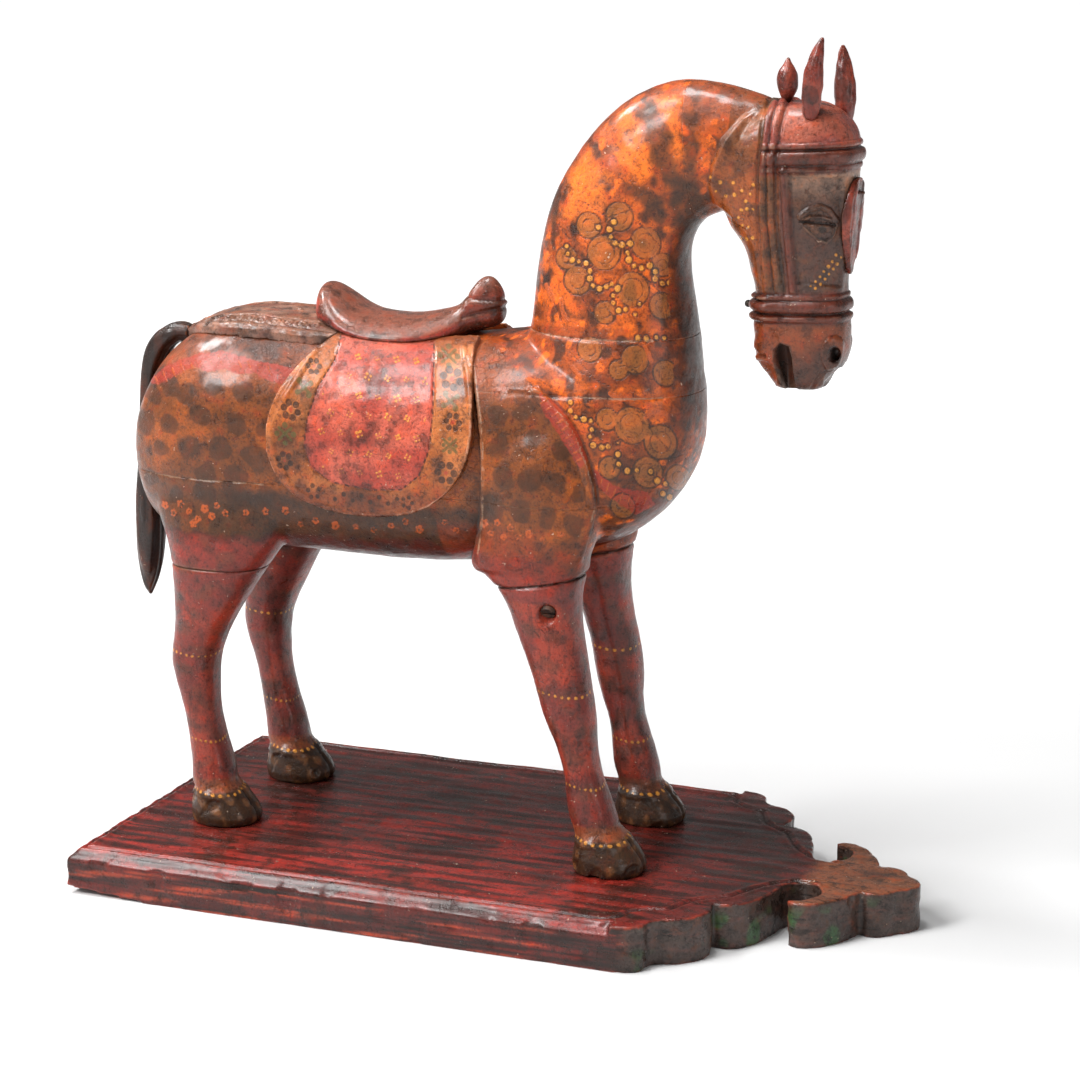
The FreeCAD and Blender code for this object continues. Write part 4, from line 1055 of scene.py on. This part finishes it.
def flap_relief(points, normals):
    u, v = side_pattern(points)
    height = 0.15 * wobble(points, 30, 51) + 0.05 * wobble(points, 9, 52)
    rim = area(u, v, FLAP_EDGE)
    height += 0.7 * dome((rim - 2.4) / 2.4) * (np.abs(normals[:, 1]) > 0.5)
    line = np.abs(stroke(u, v, FLAP_LINE))
    return height - 0.5 * dome(line / 1.2) * (np.abs(normals[:, 1]) > 0.5)


def flap_paint(points, normals):
    u, v = side_pattern(points)
    slow, quick = wobble(points, 34, 53), wobble(points, 12, 54)
    field = area(u, v, FLAP_LINE + [(-80, 420), (-135, 420)])
    coat = Coat(points, "#97521f")
    coat.add("#b56f3a", ramp(slow, 0.6) * 0.7)
    coat.add("#69301a", ramp(276 - v + 4 * quick, 10) * 0.75)
    coat.add("#a03b2b", ramp(field, 0.8))
    coat.add("#bd5c47", ramp(field, 0.8) * ramp(slow + 0.2, 0.7) * 0.8)
    coat.add("#8d3324", ramp(field, 0.8) * ramp(quick - 0.6, 0.6) * 0.5)
    coat.add("#5a2f1c", ramp(0.45 - np.abs(normals[:, 1]), 0.15) * 0.7)
    layers = bare_layers(points)
    flowers = florets(u, v, FLOWERS, 6, 5.6, 2.5)
    dashes = np.where(np.sin(u * 0.9 + v * 0.9) > -0.55, 0.75, -0.6) - np.abs(stroke(u, v, FLAP_LINE))
    low = np.maximum(florets(u, v, FLOWERS_LOW, 5, 4.0, 1.6), spots(u, v, [(-150 + 7 * k, 264 + (k % 2) * 4)
                                                                        for k in range(8)], 1.7))
    layers["ink"] = np.maximum(np.maximum(flowers, dashes), low)
    arms = [[(a - 5, b - 4.5), (a + 5, b + 4.5)] for a, b in CROSSES]
    arms += [[(a - 5, b + 4.5), (a + 5, b - 4.5)] for a, b in CROSSES]
    layers["green"] = np.maximum(strokes(u, v, arms, 1.15), florets(u, v, CROSSES, 4, 5.6, 1.9))
    sprigs = [(-160 + 15.0 * i + 7.5 * (j % 2), 285 + 14.0 * j) for i in range(7) for j in range(7)]
    sprig = florets(u, v, sprigs, 4, 1.9, 0.85)
    layers["yellow"] = np.where(field > 4, sprig, BARE)
    layers["red"] = florets(u, v, FLOWERS, 1, 0.0, 1.4)
    return coat.tint, layers


def cover_relief(points, normals):
    x, y, _ = points.T
    off = np.abs(y - MIDPLANE)
    reach = np.interp(x, [-256, -242, -218, -185, -148], [16, 32, 42, 44, 40])
    inward = reach - off
    up = ramp(normals[:, 2] - 0.1, 0.2)
    height = 0.3 * wobble(points, 22, 61) + 0.15 * wobble(points, 8, 62)
    height += up * 1.1 * dome((inward - 2.5) / 2.4)
    height += up * 0.9 * dome((inward - 17.5) / 2.0)
    for k in range(11):
        cx = -246 + 9.6 * k
        cy = np.interp(cx, [-256, -242, -218, -185, -148], [16, 32, 42, 44, 40]) - 10
        away = np.hypot(x - cx, off - cy)
        height += up * 0.9 * dome((away - 3.6) / 1.1)
        height += up * 1.0 * dome(away / 1.7)
    return height


def cover_paint(points, normals):
    slow = wobble(points, 30, 63)
    coat = Coat(points, "#74513f")
    coat.add("#967262", ramp(slow, 0.6) * 0.7)
    coat.add("#6b3a2c", ramp(wobble(points, 18, 64) - 0.4, 0.5) * 0.6)
    return coat.tint


def seat_relief(points, normals):
    x, _, z = points.T
    height = 0.2 * wobble(points, 36, 71) + 0.05 * wobble(points, 10, 72)
    height -= 1.3 * np.exp(-((z - 408 - (x + 30) * 0.25) / 1.6) ** 2) * (x > -42)
    height -= 1.0 * np.exp(-((z - 417 + (x + 30) * 0.1) / 1.2) ** 2) * (x > -44)
    height += 0.8 * np.exp(-((z - 413) / 2.5) ** 2) * (x > -42)
    return height


def seat_paint(points, normals):
    slow, quick = wobble(points, 40, 73), wobble(points, 14, 74)
    coat = Coat(points, "#86291d")
    coat.add("#a8402c", ramp(slow, 0.5) * 0.7)
    # browner on the upward faces: partly the seat's own top colour, partly a painted sheen
    coat.add("#6b4636", ramp(normals[:, 2] - 0.35 + 0.1 * quick, 0.25) * 0.85)
    # darker on the downward faces: painted shade under the seat
    coat.add("#2a1712", ramp(-normals[:, 2] - 0.3, 0.2) * 0.8)
    coat.add("#5f382a", ramp(points[:, 0] + 46, 6) * 0.6)
    return coat.tint


def tail_relief(points, normals):
    off = points[:, 1] - MIDPLANE
    height = 0.3 * wobble(points * np.array([1, 1, 0.3]), 14, 81)
    return height + 0.5 * np.sin(off * 1.15 + 0.5 * wobble(points, 60, 82)) * (np.abs(off) < 12)


def tail_paint(points, normals):
    coat = Coat(points, "#22110a")
    coat.add("#43200d", ramp(wobble(points * np.array([1, 1, 0.25]), 12, 83) - 0.4, 0.4) * 0.8)
    coat.add("#20140f", ramp(points[:, 2] - 350, 12) * 0.5)
    return coat.tint


def trim_relief(points, normals):
    return 0.2 * wobble(points, 12, 91) + 0.1 * wobble(points, 5, 92)


def trim_paint(points, normals):
    coat = Coat(points, "#6a2619")
    coat.add("#8f4433", ramp(wobble(points * np.array([1, 1, 0.4]), 12, 93), 0.5) * 0.7)
    coat.add("#2c1712", ramp(wobble(points, 20, 94) - 0.4, 0.4) * 0.7)
    return coat.tint


EAR_HEIGHT = (553.0, 600.0)


def ear_relief(side):
    low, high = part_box(("left" if side > 0 else "right") + "_ear")
    middle = (low.y + high.y) / 2 / MM

    def relief(points, normals):
        _, y, z = points.T
        front = ramp(normals[:, 0] * 0.8 - side * normals[:, 1] * 0.6 - 0.2, 0.3)
        inner = np.abs(y - middle + side * 1.5)
        share = np.clip((z - EAR_HEIGHT[0]) / (EAR_HEIGHT[1] - EAR_HEIGHT[0]), 0, 1)
        hollow = 2.6 * np.sin(math.pi * np.clip(share * 0.9 + 0.08, 0, 1))
        return 0.7 + trim_relief(points, normals) - front * hollow * np.exp(-(inner / 2.6) ** 2)
    return relief


def pendant_relief(points, normals):
    y = points[:, 1]
    rim = 0.6 * dome((np.abs(y - MIDPLANE) - 9) / 2.0)
    return trim_relief(points, normals) + rim * (normals[:, 0] > 0.4)


# half outlines of the board's front, from the side edge to the leaf, seen from above
SCALLOP_GROOVE = [
    (-281, 139), (110, 139), (119, 132), (121, 121), (132, 112), (145, 108), (149, 98), (153, 88),
    (162, 78), (176, 68), (186, 48), (196, 34), (208, 24), (228, 20),
]


def board_relief(points, normals):
    x, y, _ = points.T
    height = 0.25 * wobble(points * np.array([0.15, 1, 1]), 12, 101) + 0.2 * wobble(points, 40, 102)
    edge = wobble(points, 26, 103)
    side = 1 - np.abs(normals[:, 2])
    height -= 0.9 * ramp(edge - 0.7, 0.3) * ramp(side - 0.3, 0.2)
    line = np.minimum(np.abs(stroke(x, np.abs(y), SCALLOP_GROOVE)),
                      np.where(np.abs(y) < 139, np.abs(x + 281), 1e3))
    up = normals[:, 2] > 0.6
    height += 0.7 * dome((line - 3.8) / 2.2) * up
    return height - 1.3 * np.exp(-(line / 1.2) ** 2) * up


def board_paint(points, normals):
    x, y, z = points.T
    slow = wobble(points * np.array([0.35, 1, 1]), 46, 104)
    quick = wobble(points * np.array([0.15, 1, 1]), 12, 105)
    top = ramp(normals[:, 2] - 0.5, 0.15)
    coat = Coat(points, "#64201a")
    coat.add("#86261f", ramp(slow + 0.2, 0.6) * 0.8)
    coat.add("#2a100d", ramp(quick - 0.25, 0.4) * 0.85)
    # greyer towards the back: a painted sheen on the far half of the board
    coat.add("#2b1a18", ramp(y - 10 + 25 * slow, 30) * 0.55)
    coat.add("#241513", ramp(x - 120 + 20 * slow, 40) * 0.5)
    coat.add("#401a17", (1 - top) * 0.6)
    thin = wobble(points * np.array([0.06, 0.3, 1.6]), 6, 107)
    coat.add("#a5432a", (1 - top) * ramp(thin - 0.9, 0.25) * 0.8)
    coat.add("#140b09", (1 - top) * ramp(-thin - 0.7, 0.25) * 0.85)
    ends = (1 - top) * ramp(x - 126, 6)
    coat.add("#463d38", ends * 0.85)
    coat.add("#2f5a35", ends * ramp(wobble(points, 22, 106) - 1.0, 0.3) * ramp(26 - z, 6) * 0.8)
    leaf = ramp(x - 214, 8)
    coat.add("#8a5a3c", leaf * top * 0.6)
    return coat.tint


# ---- put together ----
for name, piece in horse_pieces().items():
    piece.name = name + "_carved"
    points, normals = read(piece)
    set_paint(piece, *horse_paint(points, normals))
    if name == "head":
        finished(piece, HEAD, "head_paint", name)
    elif name.endswith("_leg"):
        finished(piece, LEG, "leg_paint", *stands_for(name))
    else:
        finished(piece, BODY, "body_paint", *stands_for(name))

SIMPLE = {      # node: voxel, relief, paint, material, slot
    "right_saddle_flap": (1.0, flap_relief, flap_paint, FLAP, "flap_paint"),
    "left_saddle_flap": (1.0, flap_relief, flap_paint, FLAP, "flap_paint"),
    "rump_cover": (0.9, cover_relief, cover_paint, COVER, "rump_cover_paint"),
    "saddle_seat": (1.1, seat_relief, seat_paint, SADDLE, "saddle_lacquer"),
    "tail": (0.9, tail_relief, tail_paint, TAIL, "tail_paint"),
    "right_ear": (0.5, ear_relief(-1), trim_paint, TRIM, "red_brown_wood"),
    "left_ear": (0.5, ear_relief(1), trim_paint, TRIM, "red_brown_wood"),
    "poll_bud": (0.6, trim_relief, trim_paint, TRIM, "red_brown_wood"),
    "forehead_pendant": (0.6, pendant_relief, trim_paint, TRIM, "red_brown_wood"),
    "base_board": (1.5, board_relief, board_paint, BOARD, "board_lacquer"),
}
for name, (voxel, relief, paint, material, slot) in SIMPLE.items():
    piece = refined(name, voxel, relief)
    points, normals = read(piece)
    made = paint(points, normals)
    set_paint(piece, *(made if isinstance(made, tuple) else (made,)))
    finished(piece, material, slot, *stands_for(name))

CARRIED = {
    "body_pegs": PEG, "neck_pegs": PEG, "head_pegs": PEG, "saddle_pegs": PEG,
    "leg_screw": STEEL, "floor_screws": STEEL, "noseband_nail": STEEL,
}
for name, material in CARRIED.items():
    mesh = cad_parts[name].data
    mesh.materials.clear()
    mesh.materials.append(material)


# ---- stage ----
def pale_floor():
    mesh = bpy.data.meshes.new("floor")
    size = 40.0
    corners = [(-size, -size, 0), (size, -size, 0), (size, size, 0), (-size, size, 0)]
    mesh.from_pydata(corners, [], [(0, 1, 2, 3)])
    floor = bpy.data.objects.new("floor", mesh)
    bpy.context.scene.collection.objects.link(floor)
    t = Tree("floor")
    t.finish("Base Color", (0.66, 0.66, 0.66, 1.0))
    t.finish("Roughness", 0.75)
    t.finish("Emission Color", (1.0, 1.0, 1.0, 1.0))
    away = t.node("VectorMath", {0: t.place()}, operation="LENGTH").outputs["Value"]
    t.finish("Emission Strength", t.spread(away, 0.35, 2.0, 0.02, 0.60))
    mesh.materials.append(t.material)


def area_light(name, place, aim, size, power, colour=(1.0, 1.0, 1.0)):
    light = bpy.data.lights.new(name, "AREA")
    light.shape = "RECTANGLE"
    light.size, light.size_y = size
    light.energy = power
    light.color = colour
    obj = bpy.data.objects.new(name, light)
    obj.location = place
    obj.rotation_euler = (Vector(aim) - Vector(place)).to_track_quat("-Z", "Y").to_euler()
    bpy.context.scene.collection.objects.link(obj)


def studio():
    world = bpy.data.worlds.new("studio")
    world.use_nodes = True
    links, nodes = world.node_tree.links, world.node_tree.nodes
    path, share = nodes.new("ShaderNodeLightPath"), nodes.new("ShaderNodeMapRange")
    share.inputs[3].default_value, share.inputs[4].default_value = 0.22, 1.0
    links.new(path.outputs["Is Camera Ray"], share.inputs[0])
    nodes["Background"].inputs["Color"].default_value = (1.0, 1.0, 1.0, 1.0)
    links.new(share.outputs[0], nodes["Background"].inputs["Strength"])
    bpy.context.scene.world = world
    bpy.context.scene.view_settings.view_transform = "Standard"
    sun = bpy.data.lights.new("sun", "SUN")
    sun.energy = 1.9
    sun.angle = math.radians(20)
    lamp = bpy.data.objects.new("sun", sun)
    lamp.rotation_euler = (Vector((1.0, 0.8, -1.5))).to_track_quat("-Z", "Y").to_euler()
    bpy.context.scene.collection.objects.link(lamp)
    middle = (-0.02, 0.0, 0.32)
    area_light("key", (-1.05, -1.55, 1.55), middle, (0.5, 0.5), 27.0)
    area_light("rear_top", (-1.4, 0.05, 1.85), (-0.2, 0.0, 0.35), (0.45, 0.35), 27.0)
    area_light("top", (-0.1, -0.15, 1.95), middle, (0.5, 0.35), 22.0)
    area_light("fill", (1.9, -1.2, 0.8), middle, (0.9, 0.9), 7.0)


def photo_camera():
    camera = bpy.data.cameras.new("camera")
    camera.sensor_width = 36.0
    camera.lens = 93.33
    obj = bpy.data.objects.new("camera", camera)
    azimuth, elevation = math.radians(21.26), math.radians(13.44)
    forward = Vector((-math.sin(azimuth) * math.cos(elevation), math.cos(azimuth) * math.cos(elevation),
                      -math.sin(elevation)))
    obj.location = (0.70164, -1.77364, 0.70423)
    obj.rotation_euler = forward.to_track_quat("-Z", "Y").to_euler()
    bpy.context.scene.collection.objects.link(obj)
    bpy.context.scene.camera = obj


pale_floor()
studio()
photo_camera()
